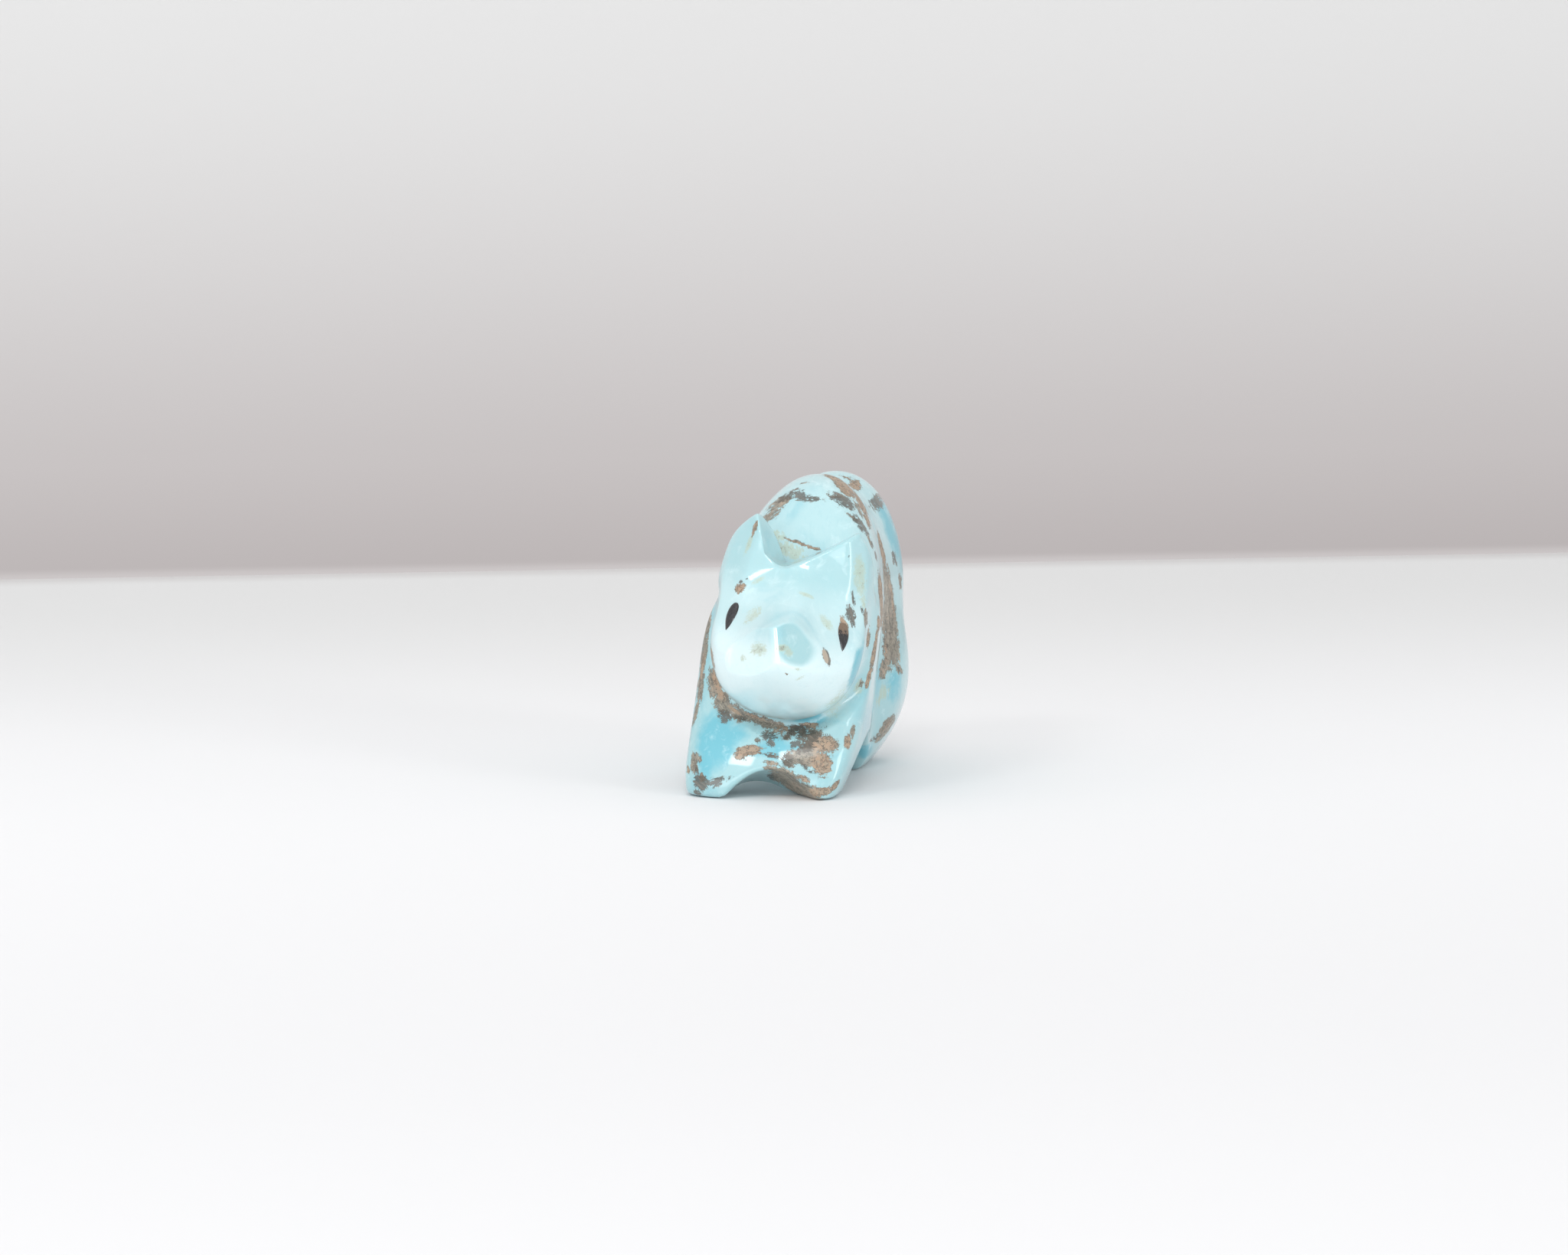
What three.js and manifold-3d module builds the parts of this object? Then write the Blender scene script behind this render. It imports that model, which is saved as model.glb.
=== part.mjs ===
import * as THREE from 'three';
import { mergeVertices } from 'three/addons/utils/BufferGeometryUtils.js';
import Module from 'manifold-3d';

// A bear carved from one small turquoise pebble, with two eyes of jet let into its head.
// Millimetres, +Z up. The bear looks along -Y and its left side is +X.

// Driving dimensions
const FIGURE_LENGTH = 36.2; // nose tip to rump
const FIGURE_WIDTH = 15.9; // across the haunches and shoulders, lean included
const FIGURE_HEIGHT = 25.3; // floor to the top of the shoulder hump
const EYE_LENGTH = 2.5; // one inlay, from its blunt top to its point
const EYE_WIDTH = 1; // one inlay, across
const EYE_DEPTH = 1.3; // how deep an inlay reaches into the stone
const EYE_CLEARANCE = 0.25; // free space round and under an inlay

// Fineness of the carved skin
const ROWS_AROUND = 80;
const ROWS_ALONG = 54;

const wasm = await Module();
wasm.setup();

const { abs, cos, exp, hypot, max, min, sign, sin, sqrt, tan } = Math;
const { clamp, degToRad, lerp, smoothstep } = THREE.MathUtils;

// The carving is a free form: every number below is a share of the figure, in units in which the
// bear is about 25 high. The finished skin is brought to the three figure sizes above.
// A form is a function of a point that is below zero inside the stone.

// The smaller of two values, with the corner between them rounded over the width k
function roundMin(a, b, k) {
  const nearness = max(k - abs(a - b), 0) / k;
  return min(a, b) - (nearness * nearness * k) / 4;
}

// The larger of two values, with the corner rounded in the same way
function roundMax(a, b, k) {
  return -roundMin(-a, -b, k);
}

// A rounded version of max(v, 0)
function softRamp(v, softness) {
  return 0.5 * (v + sqrt(v * v + softness));
}

function bell(v, centre, spread) {
  return exp(-(((v - centre) / spread) ** 2));
}

// Distance from the origin of (a, b) for a corner between an ellipse, power 2, and a box
function superNorm(a, b, power) {
  return (abs(a) ** power + abs(b) ** power) ** (1 / power);
}

// A smooth curve through a few stations, as a function of the place along the bear
function curveThrough(stations) {
  const places = stations.map((station) => station[0]);
  const values = stations.map((station) => station[1]);
  const spline = new THREE.CubicInterpolant(places, values, 1, [0]);
  return (y) => spline.evaluate(y)[0];
}

// Lean: the upper body hangs over to the bear's left, most at the shoulder
const LEAN = { slope: tan(degToRad(5.6)), level: 16, spread: 3.5, swing: 0.33, slimming: 0.25 };

// Trunk: an arched section whose top line and half width run along the body
const MIDDLE_LEVEL = 13;
const TRUNK_SHARPNESS = 5.2;
const backLine = curveThrough([
  [-16, 13], [-12, 15.5], [-9, 17.8], [-6.2, 20.3], [-4, 22.7], [-2, 24.3], [0.5, 25.3],
  [4, 24.9], [7.5, 24.1], [11, 24.9], [14.5, 23.3], [17, 18.8], [18.6, 14], [20, 8],
]);
const flankLine = curveThrough([
  [-15, 5.8], [-12, 6.8], [-8, 7.15], [-4, 7.15], [1, 6.5], [5, 5.9],
  [8, 6.2], [12, 6.5], [15, 5.6], [17.5, 3.3], [19, 1.2], [20, 0.6],
]);

function trunk(x, y, z, slimming) {
  const width = flankLine(y) - slimming;
  const rise = max(z - MIDDLE_LEVEL, 0) / max(backLine(y) - MIDDLE_LEVEL, 2);
  return (hypot(x / width, rise) - 1) * TRUNK_SHARPNESS;
}

// Chest: upright at the fore feet, then leaning back to the throat
const CHEST = { feetFront: -13.1, throat: -9.6, leanBack: 0.62, kneeLevel: 1.8, crown: 0.03 };

function chest(x, y, z) {
  const leaning = CHEST.feetFront + CHEST.leanBack * (z - CHEST.kneeLevel);
  const front = roundMin(roundMax(CHEST.feetFront, leaning, 2), CHEST.throat, 1.5);
  return (front - y + CHEST.crown * x * x) * 0.85;
}

// Rump: the hind end falls in one round curve to the heels
const RUMP = { start: 7.5, depth: 10.4, level: 13.5, height: 14.5, sharpness: 6 };

function rump(y, z) {
  const back = max(y - RUMP.start, 0) / RUMP.depth;
  return (hypot(back, (z - RUMP.level) / RUMP.height) - 1) * RUMP.sharpness;
}

// Thighs: a swelling on each flank above the hind feet
const THIGH = { centre: [3.6, 9.9, 6.2], radii: [4.4, 5.6, 7.4] };

function thigh(x, y, z) {
  const offsets = [abs(x), y, z].map((v, i) => (v - THIGH.centre[i]) / THIGH.radii[i]);
  return (hypot(...offsets) - 1) * THIGH.radii[0];
}

// Legs: the outer faces draw in towards the feet
const LEGS = { top: 7.5, foreWidth: 7.5, hindWidth: 8.2, hindTaper: 3, middle: -4, change: 8 };

function legSides(x, y, z) {
  const low = max(LEGS.top - z, 0) / LEGS.top;
  const foreTaper = 0.55 + 1.05 * smoothstep(x, -3, 3);
  const fore = LEGS.foreWidth - foreTaper * low ** 1.3;
  const hind = LEGS.hindWidth - LEGS.hindTaper * low ** 1.8;
  const share = smoothstep(y, LEGS.middle, LEGS.middle + LEGS.change);
  return abs(x) - lerp(fore, hind, share);
}

// Head: its own frame, with u to the bear's left, v up and t back from the nose
const HEAD = { base: [2.65, -18.2, 13.5], yaw: degToRad(5), roll: degToRad(9.5), depth: 11.5 };

function toHead(x, y, z) {
  const [dx, dy, dz] = [x - HEAD.base[0], y - HEAD.base[1], z - HEAD.base[2]];
  const across = dx * cos(HEAD.yaw) + dy * sin(HEAD.yaw);
  return {
    u: across * cos(HEAD.roll) - dz * sin(HEAD.roll),
    v: across * sin(HEAD.roll) + dz * cos(HEAD.roll),
    t: dy * cos(HEAD.yaw) - dx * sin(HEAD.yaw),
  };
}

function fromHead(u, v, t) {
  const across = u * cos(HEAD.roll) + v * sin(HEAD.roll);
  return new THREE.Vector3(
    HEAD.base[0] + across * cos(HEAD.yaw) - t * sin(HEAD.yaw),
    HEAD.base[1] + across * sin(HEAD.yaw) + t * cos(HEAD.yaw),
    HEAD.base[2] + v * cos(HEAD.roll) - u * sin(HEAD.roll),
  );
}

// Outline of the head from the front: 1 on the rim, round at the jaw and square at the ears
const OUTLINE = { half: 6.25, jaw: 7.2, ears: 10.3, jawPower: 2.3, earPower: 3.8 };

function headOutline(u, v) {
  const half = OUTLINE.half + (0.27 - 0.05 * u) * smoothstep(v, 0, 3.5);
  if (v < 0) return superNorm(u / half, v / OUTLINE.jaw, OUTLINE.jawPower);
  return superNorm(u / half, v / OUTLINE.ears, OUTLINE.earPower);
}

// Face: how far back the stone begins at a place of the outline
const NOSE = { u: -0.08, v: -1.25 };
const JAW_CONE = { depth: 7.2, drop: 5.95, rise: 13, power: 1.55 };
const BROW = { depth: 8.6, flare: 7, side: 0.462, top: 0.56, drop: 0.435, power: 1.4, start: 1.3 };
const BEVEL = { width: 4.35, narrowing: 0.0235, slope: 0.95 };

// The jaw is a blunt cone round the nose
function jawCone(u, v) {
  const dv = v - NOSE.v;
  const reach = dv < 0 ? JAW_CONE.drop : JAW_CONE.rise;
  const out = superNorm((u - NOSE.u) / OUTLINE.half, dv / reach, OUTLINE.jawPower);
  return JAW_CONE.depth * out ** JAW_CONE.power;
}

// The forehead is hollow like a trumpet round the muzzle, with a bevel down each side
function forehead(u, v) {
  const rim = BEVEL.width - BEVEL.narrowing * clamp(v - 2, 0, 7) ** 2;
  const beyond = softRamp(abs(u) - rim, 0.25);
  const inner = sign(u) * (abs(u) - beyond);
  const fullness = 0.34 * bell(inner, 1.6, 1.7) * (1 - smoothstep(v, 0.3, 3.5));
  const side = BROW.side * hypot(inner - 0.2, 1) + fullness;
  const top = BROW.top * softRamp(v + BROW.drop, 0.6);
  const out = superNorm(side, top, BROW.power) - BROW.start;
  return BROW.depth - BROW.flare * exp(-out) + BEVEL.slope * beyond;
}

function faceDepth(u, v) {
  const jaw = jawCone(u, v);
  return lerp(jaw, max(forehead(u, v), jaw), smoothstep(v, -2.5, -0.1));
}

function head({ u, v, t }) {
  const front = (faceDepth(u, v) - t) * 0.5;
  const rim = (headOutline(u, v) - 1) * 5;
  return roundMax(roundMax(front, rim, 0.6), t - HEAD.depth, 1);
}

// Neck: a round groove behind the head, shallow under the jaw and deep beside the ears
function neckGroove({ u, v, t }) {
  const side = smoothstep(v, -7, -0.5);
  const out = (headOutline(u, v) - 1) * 6.5;
  const [ringOut, ringRadius, ringBack] = [0.25 + 2.2 * side, 0.45 + 2.15 * side, 8.2 + 1.5 * side];
  return hypot((out - ringOut) * 0.95, t - ringBack) - ringRadius;
}

// Nape: a valley across the neck, between the backs of the ears and the hump
const NAPE = { floor: 5, earFoot: 11.58, earSlope: 2.3, humpFoot: 12, humpSlope: 1.7, end: 15.5 };
const EAR_SPREAD = 0.05; // how much farther back the foot of the bear's right ear reaches

function nape({ u, v, t }) {
  const ears = NAPE.floor + NAPE.earSlope * (NAPE.earFoot - EAR_SPREAD * min(u, 0) - t);
  const hump = NAPE.floor + NAPE.humpSlope * (t - NAPE.humpFoot);
  return roundMin((v - roundMax(hump, ears, 1.2)) * 0.25, NAPE.end - t, 0.4);
}

// The roughed-out stone: below zero inside it. The legs run on below the floor until they are cut.
const SPARE_LEG = 3;

function carving(x, y, z) {
  const sway = bell(z, LEAN.level, LEAN.spread);
  const upright = x - LEAN.slope * z - LEAN.swing * sway;
  const atHead = toHead(x, y, z);
  const groove = -neckGroove(atHead);
  let body = trunk(upright, y, z, LEAN.slimming * sway);
  body = roundMax(body, chest(upright, y, z), 1.6);
  body = roundMax(body, rump(y, z), 1.5);
  body = roundMin(body, thigh(upright, y, z), 1.6);
  body = roundMax(body, legSides(upright, y, z), 0.8);
  body = roundMax(body, groove, 0.6);
  const stone = roundMin(body, roundMax(head(atHead), groove, 0.6), 0.6);
  return roundMax(roundMax(stone, nape(atHead), 0.35), -z - SPARE_LEG, 0.6);
}

// The skin is read from inside: each vertex of a sphere with its poles at the nose and the rump
// is sent out from a place on the spine until it leaves the stone.
const SPINE = { front: [2.5, -6, 12.2], back: [1.3, 10, 12.5] };
const HEAD_SHARE = 0.56; // share of the rows that fall on the head
const HEAD_TILT = degToRad(-5); // tilt of the ray where the spine begins to move back
const EAR_CROWDING = 0.3; // how much closer the rows stand at the ears than at the flanks
const STRIDE = 0.4;
const HALVINGS = 16;

function leaveStone(origin, direction) {
  let [inside, outside] = [0, STRIDE];
  const place = new THREE.Vector3();
  const at = (reach) => carving(...place.copy(direction).multiplyScalar(reach).add(origin));
  while (at(outside) < 0) [inside, outside] = [outside, outside + STRIDE];
  for (let i = 0; i < HALVINGS; i++) {
    const middle = (inside + outside) / 2;
    if (at(middle) < 0) inside = middle;
    else outside = middle;
  }
  at(inside);
  return place.clone();
}

// One vertex of the sphere becomes one point of the skin
function skinPoint(vertex) {
  const along = 1 - Math.acos(clamp(vertex.y, -1, 1)) / Math.PI;
  const behind = max(along - HEAD_SHARE, 0) / (1 - HEAD_SHARE);
  const ahead = min(along / HEAD_SHARE, 1);
  const tilt = lerp(lerp(-Math.PI / 2, HEAD_TILT, ahead), Math.PI / 2, behind);
  const turn = Math.atan2(vertex.x, vertex.z);
  const around = turn - EAR_CROWDING * sin(turn);
  const origin = new THREE.Vector3(...SPINE.front).lerp(new THREE.Vector3(...SPINE.back), behind);
  const direction = new THREE.Vector3(cos(tilt) * sin(around), sin(tilt), cos(tilt) * cos(around));
  return leaveStone(origin, direction);
}

// A closed geometry with shared vertices, as manifold-3d takes it
function merged(geometry) {
  geometry.deleteAttribute('normal');
  geometry.deleteAttribute('uv');
  return mergeVertices(geometry, 1e-5);
}

function toSolid(geometry) {
  return new wasm.Manifold(new wasm.Mesh({
    numProp: 3,
    vertProperties: geometry.attributes.position.array,
    triVerts: new Uint32Array(geometry.index.array),
  }));
}

function toGeometry(solid) {
  const { vertProperties, triVerts } = solid.getMesh();
  const geometry = new THREE.BufferGeometry();
  geometry.setAttribute('position', new THREE.BufferAttribute(vertProperties, 3));
  geometry.setIndex(new THREE.BufferAttribute(triVerts, 1));
  geometry.computeVertexNormals();
  return geometry;
}

// The skin in carving units, and the stretch that brings it to the figure's sizes
const skin = merged(new THREE.SphereGeometry(1, ROWS_AROUND, ROWS_ALONG));
const corner = new THREE.Vector3();
for (let i = 0; i < skin.attributes.position.count; i++) {
  corner.fromBufferAttribute(skin.attributes.position, i);
  skin.attributes.position.setXYZ(i, ...skinPoint(corner));
}
skin.computeBoundingBox();
const carved = skin.boundingBox;
const stretch = new THREE.Vector3(
  FIGURE_WIDTH / (carved.max.x - carved.min.x),
  FIGURE_LENGTH / (carved.max.y - carved.min.y),
  FIGURE_HEIGHT / carved.max.z,
);
const toFigure = new THREE.Matrix4().makeScale(...stretch);

// Cutting tools. Each is a block of cells whose corners are placed by three shares from 0 to 1.
const SKY = 20; // well above the figure
const REACH = 40; // well beyond the figure

function cuttingBlock(cells, place) {
  const block = new THREE.BoxGeometry(1, 1, 1, ...cells, 1);
  const corners = block.attributes.position;
  for (let i = 0; i < corners.count; i++) {
    corner.fromBufferAttribute(corners, i).addScalar(0.5);
    corners.setXYZ(i, ...place(...corner));
  }
  return toSolid(merged(block).applyMatrix4(toFigure));
}

// The floor takes off the spare ends of the legs, so that all four feet are flat
function floorCut() {
  return cuttingBlock([1, 1], (a, b, c) => [REACH * (a - 0.5), REACH * (b - 0.5), -SPARE_LEG * 2 * (1 - c)]);
}

// Muzzle: two flats are ground on it, which meet in a ridge above the nose. A flat falls away from
// the nose by its slopes to the bear's left and upwards.
const FLATS = { left: [0.9, 0.75], right: [-1.15, 0.145], end: 4.2 };
const FLATS_SPAN = { across: 8, along: [-6, 5] };
const RIDGE_SLANT = (FLATS.right[1] - FLATS.left[1]) / (FLATS.left[0] - FLATS.right[0]);

function muzzleFlats() {
  const wedge = cuttingBlock([2, 1], (a, b, c) => {
    const dv = lerp(...FLATS_SPAN.along, b);
    const du = RIDGE_SLANT * dv + FLATS_SPAN.across * (2 * a - 1);
    const fall = ([toLeft, toTop]) => toLeft * du + toTop * dv;
    return fromHead(NOSE.u + du, NOSE.v + dv, lerp(max(fall(FLATS.left), fall(FLATS.right)), -SKY, c));
  });
  const reach = cuttingBlock([1, 1], (a, b, c) => (
    fromHead(REACH * (a - 0.5), REACH * (b - 0.5), lerp(FLATS.end, -REACH, c))
  ));
  return wedge.intersect(reach);
}

// Ears: parted by a notch. Its wall to the bear's left is slack, the one to its right starts short
// and low and is then steep, curved and askew, so that it meets the nape farther to the left.
const NOTCH = {
  cells: [40, 3],
  across: [-8, 9],
  along: [6, 12],
  left: { foot: -1.6, level: 4.85, slope: 0.5, bend: 0.03 },
  right: { foot: -1.5, level: 4.9, slope: 0.62 },
  steep: { foot: -2.7, level: 5.76, slope: 3.6, bend: 0.6, turn: 0.45, turnMiddle: 9.2, start: -0.8 },
  straight: [-2, 1], // the askew run of the cells fades out between these places
};

function notchLevel(u, askew) {
  const { left, right, steep } = NOTCH;
  const toLeft = left.level + left.slope * (u - left.foot) + left.bend * (u - left.foot) ** 2;
  const toRight = right.level + right.slope * (right.foot - u);
  const out = max(steep.foot - u + askew, steep.start);
  const wall = steep.level + (steep.slope * out) / (1 + steep.bend * max(out, 0));
  return roundMax(roundMax(toLeft, toRight, 0.8), wall, 0.7);
}

function earNotch() {
  return cuttingBlock(NOTCH.cells, (a, b, c) => {
    const place = lerp(...NOTCH.across, a);
    const t = lerp(...NOTCH.along, b);
    const askew = NOTCH.steep.turn * (t - NOTCH.steep.turnMiddle);
    const u = place + askew * (1 - smoothstep(place, ...NOTCH.straight));
    return fromHead(u, lerp(notchLevel(u, askew), SKY, c), t);
  });
}

// Belly: a round notch right through from side to side parts the fore legs from the hind legs
const BELLY = { place: -1.2, radius: 7.6, height: 4.2, sides: 72 };

function bellyNotch() {
  const drum = new THREE.CylinderGeometry(BELLY.radius, BELLY.radius, REACH, BELLY.sides);
  drum.rotateZ(Math.PI / 2).translate(0, BELLY.place, BELLY.height - BELLY.radius);
  return toSolid(merged(drum).applyMatrix4(toFigure));
}

// Scoops between the legs are arches. The fore one narrows to the back, the hind one is straight.
const FORE_SCOOP = {
  cells: [20, 6],
  along: [-14.5, -7],
  middles: [1.775, -1.35],
  halfWidths: [4.7, 2.2],
  heights: [3.34, 0.63],
};
const HIND_SCOOP = { cells: [20, 1], along: [3, 22], halfWidth: 2.6, height: 2.6 };
const ARCH_OVERRUN = 1.15; // the arches run on a little below the floor

function foreScoop() {
  return cuttingBlock(FORE_SCOOP.cells, (a, b, c) => {
    const out = (2 * a - 1) * ARCH_OVERRUN;
    const arch = lerp(...FORE_SCOOP.heights, b) * (1 - out * out);
    const x = lerp(...FORE_SCOOP.middles, b) + lerp(...FORE_SCOOP.halfWidths, b) * out;
    return [x, lerp(...FORE_SCOOP.along, b), lerp(-2 * SPARE_LEG, arch, c)];
  });
}

function hindScoop() {
  return cuttingBlock(HIND_SCOOP.cells, (a, b, c) => {
    const out = (2 * a - 1) * ARCH_OVERRUN;
    const z = lerp(-2 * SPARE_LEG, HIND_SCOOP.height * (1 - out * out), c);
    return [HIND_SCOOP.halfWidth * out + LEAN.slope * z, lerp(...HIND_SCOOP.along, b), z];
  });
}

const blank = toSolid(skin.applyMatrix4(toFigure));
const cuts = [floorCut(), muzzleFlats(), earNotch(), bellyNotch(), foreScoop(), hindScoop()];
const carvedStone = cuts.reduce((stone, cut) => stone.subtract(cut), blank);

// Eyes: almond inlays on the bevels, blunt at the top, with the points down and outwards
const EYE_PLACE = { middle: -0.13, spread: 4.6, rise: 0.55, slant: degToRad(10.3) };
const ALMOND_FULLNESS = 2 / 3;
const ABOVE_STONE = 1.5;

function almond(length, width) {
  const [tip, swell] = [length / 2, width * ALMOND_FULLNESS];
  const shape = new THREE.Shape();
  shape.moveTo(0, -tip);
  shape.bezierCurveTo(swell, -0.4 * tip, swell, tip, 0, tip);
  shape.bezierCurveTo(-swell, tip, -swell, -0.4 * tip, 0, -tip);
  return shape;
}

// Outward direction of the stone's surface near a point of the carving
function outward(point) {
  const step = 0.05;
  const slope = [0, 1, 2].map((axis) => {
    const [before, after] = [point.clone(), point.clone()];
    before.setComponent(axis, point.getComponent(axis) - step);
    after.setComponent(axis, point.getComponent(axis) + step);
    return carving(...after) - carving(...before);
  });
  return new THREE.Vector3(...slope).divide(stretch).normalize();
}

// A straight almond plug at one eye, reaching from a depth in the stone to above its surface
function eyePlug(side, grown) {
  const u = EYE_PLACE.middle + side * EYE_PLACE.spread;
  const v = EYE_PLACE.rise;
  const point = fromHead(u, v, faceDepth(u, v));
  const lean = side * EYE_PLACE.slant;
  const normal = outward(point);
  const up = fromHead(u - sin(lean), v + cos(lean), 0).sub(fromHead(u, v, 0));
  const back = fromHead(u, v, 1).sub(fromHead(u, v, 0));
  up.addScaledVector(back, -up.dot(normal) / back.dot(normal)).normalize();
  const across = new THREE.Vector3().crossVectors(up, normal);
  const depth = EYE_DEPTH + grown;
  const outline = almond(EYE_LENGTH + 2 * grown, EYE_WIDTH + 2 * grown);
  const plug = new THREE.ExtrudeGeometry(outline, {
    depth: depth + ABOVE_STONE,
    bevelEnabled: false,
    curveSegments: 8,
  });
  plug.translate(0, 0, -depth);
  plug.applyMatrix4(new THREE.Matrix4().makeBasis(across, up, normal));
  plug.translate(...point.multiply(stretch));
  return toSolid(merged(plug));
}

// Finishes
const turquoise = new THREE.MeshStandardMaterial({ color: 0x9ad3dd, roughness: 0.28, metalness: 0 });
const jet = new THREE.MeshStandardMaterial({ color: 0x26272a, roughness: 0.22, metalness: 0 });

// The pieces stand on the floor with the origin under the middle of the figure
const bounds = carvedStone.boundingBox();
const origin = [0, 1].map((axis) => -(bounds.min[axis] + bounds.max[axis]) / 2);

function piece(name, solid, material) {
  const mesh = new THREE.Mesh(toGeometry(solid), material);
  mesh.name = name;
  mesh.position.set(...origin, -bounds.min[2]);
  return mesh;
}

const bear = new THREE.Group();
const SIDES = { right: -1, left: 1 };
let stone = carvedStone;
for (const [name, side] of Object.entries(SIDES)) {
  bear.add(piece(`${name}_eye_inlay`, carvedStone.intersect(eyePlug(side, 0)), jet));
  stone = stone.subtract(eyePlug(side, EYE_CLEARANCE));
}
bear.add(piece('bear_carving', stone, turquoise));

export default bear;
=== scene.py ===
"""The looks of a small bear carved from turquoise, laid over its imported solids."""

import functools
from types import SimpleNamespace

import bpy
import numpy as np
from bpy.props import FloatProperty, FloatVectorProperty, PointerProperty
from bpy.types import Operator, Panel, PropertyGroup
from mathutils import Matrix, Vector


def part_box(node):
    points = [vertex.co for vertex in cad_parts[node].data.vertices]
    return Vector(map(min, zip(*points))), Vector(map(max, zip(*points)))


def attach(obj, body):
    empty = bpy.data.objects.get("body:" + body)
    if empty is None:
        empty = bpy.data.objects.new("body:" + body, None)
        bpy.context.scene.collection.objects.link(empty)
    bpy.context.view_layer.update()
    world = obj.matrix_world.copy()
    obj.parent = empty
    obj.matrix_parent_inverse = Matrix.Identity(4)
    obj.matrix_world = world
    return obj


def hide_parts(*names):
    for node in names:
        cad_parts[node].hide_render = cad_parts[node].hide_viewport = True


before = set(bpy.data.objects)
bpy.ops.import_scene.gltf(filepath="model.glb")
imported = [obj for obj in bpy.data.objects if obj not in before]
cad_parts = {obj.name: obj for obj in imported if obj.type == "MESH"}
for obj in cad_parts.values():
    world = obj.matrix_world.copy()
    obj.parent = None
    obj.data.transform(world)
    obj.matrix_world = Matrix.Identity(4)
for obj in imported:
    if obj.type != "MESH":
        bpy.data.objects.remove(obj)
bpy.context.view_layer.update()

bl_info = {
    "name": "Carved turquoise bear",
    "version": (1, 0, 0),
    "blender": (4, 5, 0),
    "location": "3D View > Sidebar > Bear",
    "description": "Skin, jet eyes and stage of a small bear carved from turquoise",
    "category": "Object",
}

# Forms of the carving
# Carving units are close to millimetres. A form is below zero inside the stone. The bear looks
# along -Y and its left side is +X.


def round_min(a, b, k):
    """The smaller of a and b, with the corner between them rounded over the width k."""
    near = np.maximum(k - np.abs(a - b), 0) / k
    return np.minimum(a, b) - near * near * k / 4


def round_max(a, b, k):
    """The larger of a and b, with the corner rounded in the same way."""
    return -round_min(-a, -b, k)


def ease(v, low, high):
    """A smooth step from 0 at low to 1 at high: 3s^2 - 2s^3."""
    s = np.clip((v - low) / (high - low), 0, 1)
    return s * s * (3 - 2 * s)


def bell(v, centre, spread):
    """A bell curve, exp(-((v - centre) / spread)^2)."""
    return np.exp(-(((v - centre) / spread) ** 2))


def soft_ramp(v, softness):
    """The larger of v and 0 with a round corner: half of v + sqrt(v^2 + softness)."""
    return 0.5 * (v + np.sqrt(v**2 + softness))


def super_norm(a, b, power):
    """Distance of (a, b) from the origin for a corner between an ellipse, power 2, and a box."""
    return (np.abs(a) ** power + np.abs(b) ** power) ** (1 / power)


def curve_through(y, stations):
    """A cubic through (place, value) stations, with the slope at each one the mean of its sides."""
    places, values = np.array(stations, float).T
    slopes = np.gradient(values, places)
    i = np.clip(np.searchsorted(places, y) - 1, 0, len(places) - 2)
    span = places[i + 1] - places[i]
    s = np.clip((y - places[i]) / span, 0, 1)
    rise = s * s * (3 - 2 * s)
    bend = slopes[i] * (s - 2 * s**2 + s**3) + slopes[i + 1] * (s**3 - s**2)
    return values[i] * (1 - rise) + values[i + 1] * rise + span * bend


# Lean: the upper body hangs over to the bear's left, most at the shoulder
LEAN = SimpleNamespace(slope=np.tan(np.radians(5.6)), level=16, spread=3.5, swing=0.33, slimming=0.25)

# Trunk: an arched section whose top line and half width run along the body
TRUNK = SimpleNamespace(level=13, least_arch=2, sharpness=5.2)
BACK_LINE = (
    (-16, 13), (-12, 15.5), (-9, 17.8), (-6.2, 20.3), (-4, 22.7), (-2, 24.3), (0.5, 25.3),
    (4, 24.9), (7.5, 24.1), (11, 24.9), (14.5, 23.3), (17, 18.8), (18.6, 14), (20, 8),
)
FLANK_LINE = (
    (-15, 5.8), (-12, 6.8), (-8, 7.15), (-4, 7.15), (1, 6.5), (5, 5.9),
    (8, 6.2), (12, 6.5), (15, 5.6), (17.5, 3.3), (19, 1.2), (20, 0.6),
)

# Chest: upright at the fore feet, then leaning back to the throat
CHEST = SimpleNamespace(
    feet_front=-13.1, throat=-9.6, lean_back=0.62, knee_level=1.8, crown=0.03, sharpness=0.85
)

# Rump: the hind end falls in one round curve to the heels
RUMP = SimpleNamespace(start=7.5, depth=10.4, level=13.5, height=14.5, sharpness=6)

# Thighs: a swelling on each flank above the hind feet
THIGH = SimpleNamespace(middle=(3.6, 9.9, 6.2), radii=(4.4, 5.6, 7.4))

# Legs: the outer faces draw in towards the feet, and the fore ones do so more on the bear's left
LEGS = SimpleNamespace(
    top=7.5, fore_width=7.5, right_taper=0.55, left_extra=1.05, across=(-3, 3), fore_power=1.3,
    hind_width=8.2, hind_taper=3, hind_power=1.8, change=(-4, 4),
)

# Head: its own frame, and how far back it reaches
HEAD_BASE = (2.65, -18.2, 13.5)
HEAD_YAW, HEAD_ROLL = np.radians(5), np.radians(9.5)
HEAD_DEPTH = 11.5
NOSE_U, NOSE_V = -0.08, -1.25

# Outline of the head from the front: round at the jaw, square at the ears and a little wider there
OUTLINE = SimpleNamespace(
    half=6.25, swell=0.27, slant=0.05, swell_rise=(0, 3.5), jaw=7.2, jaw_power=2.3, ears=10.3,
    ear_power=3.8,
)

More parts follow.
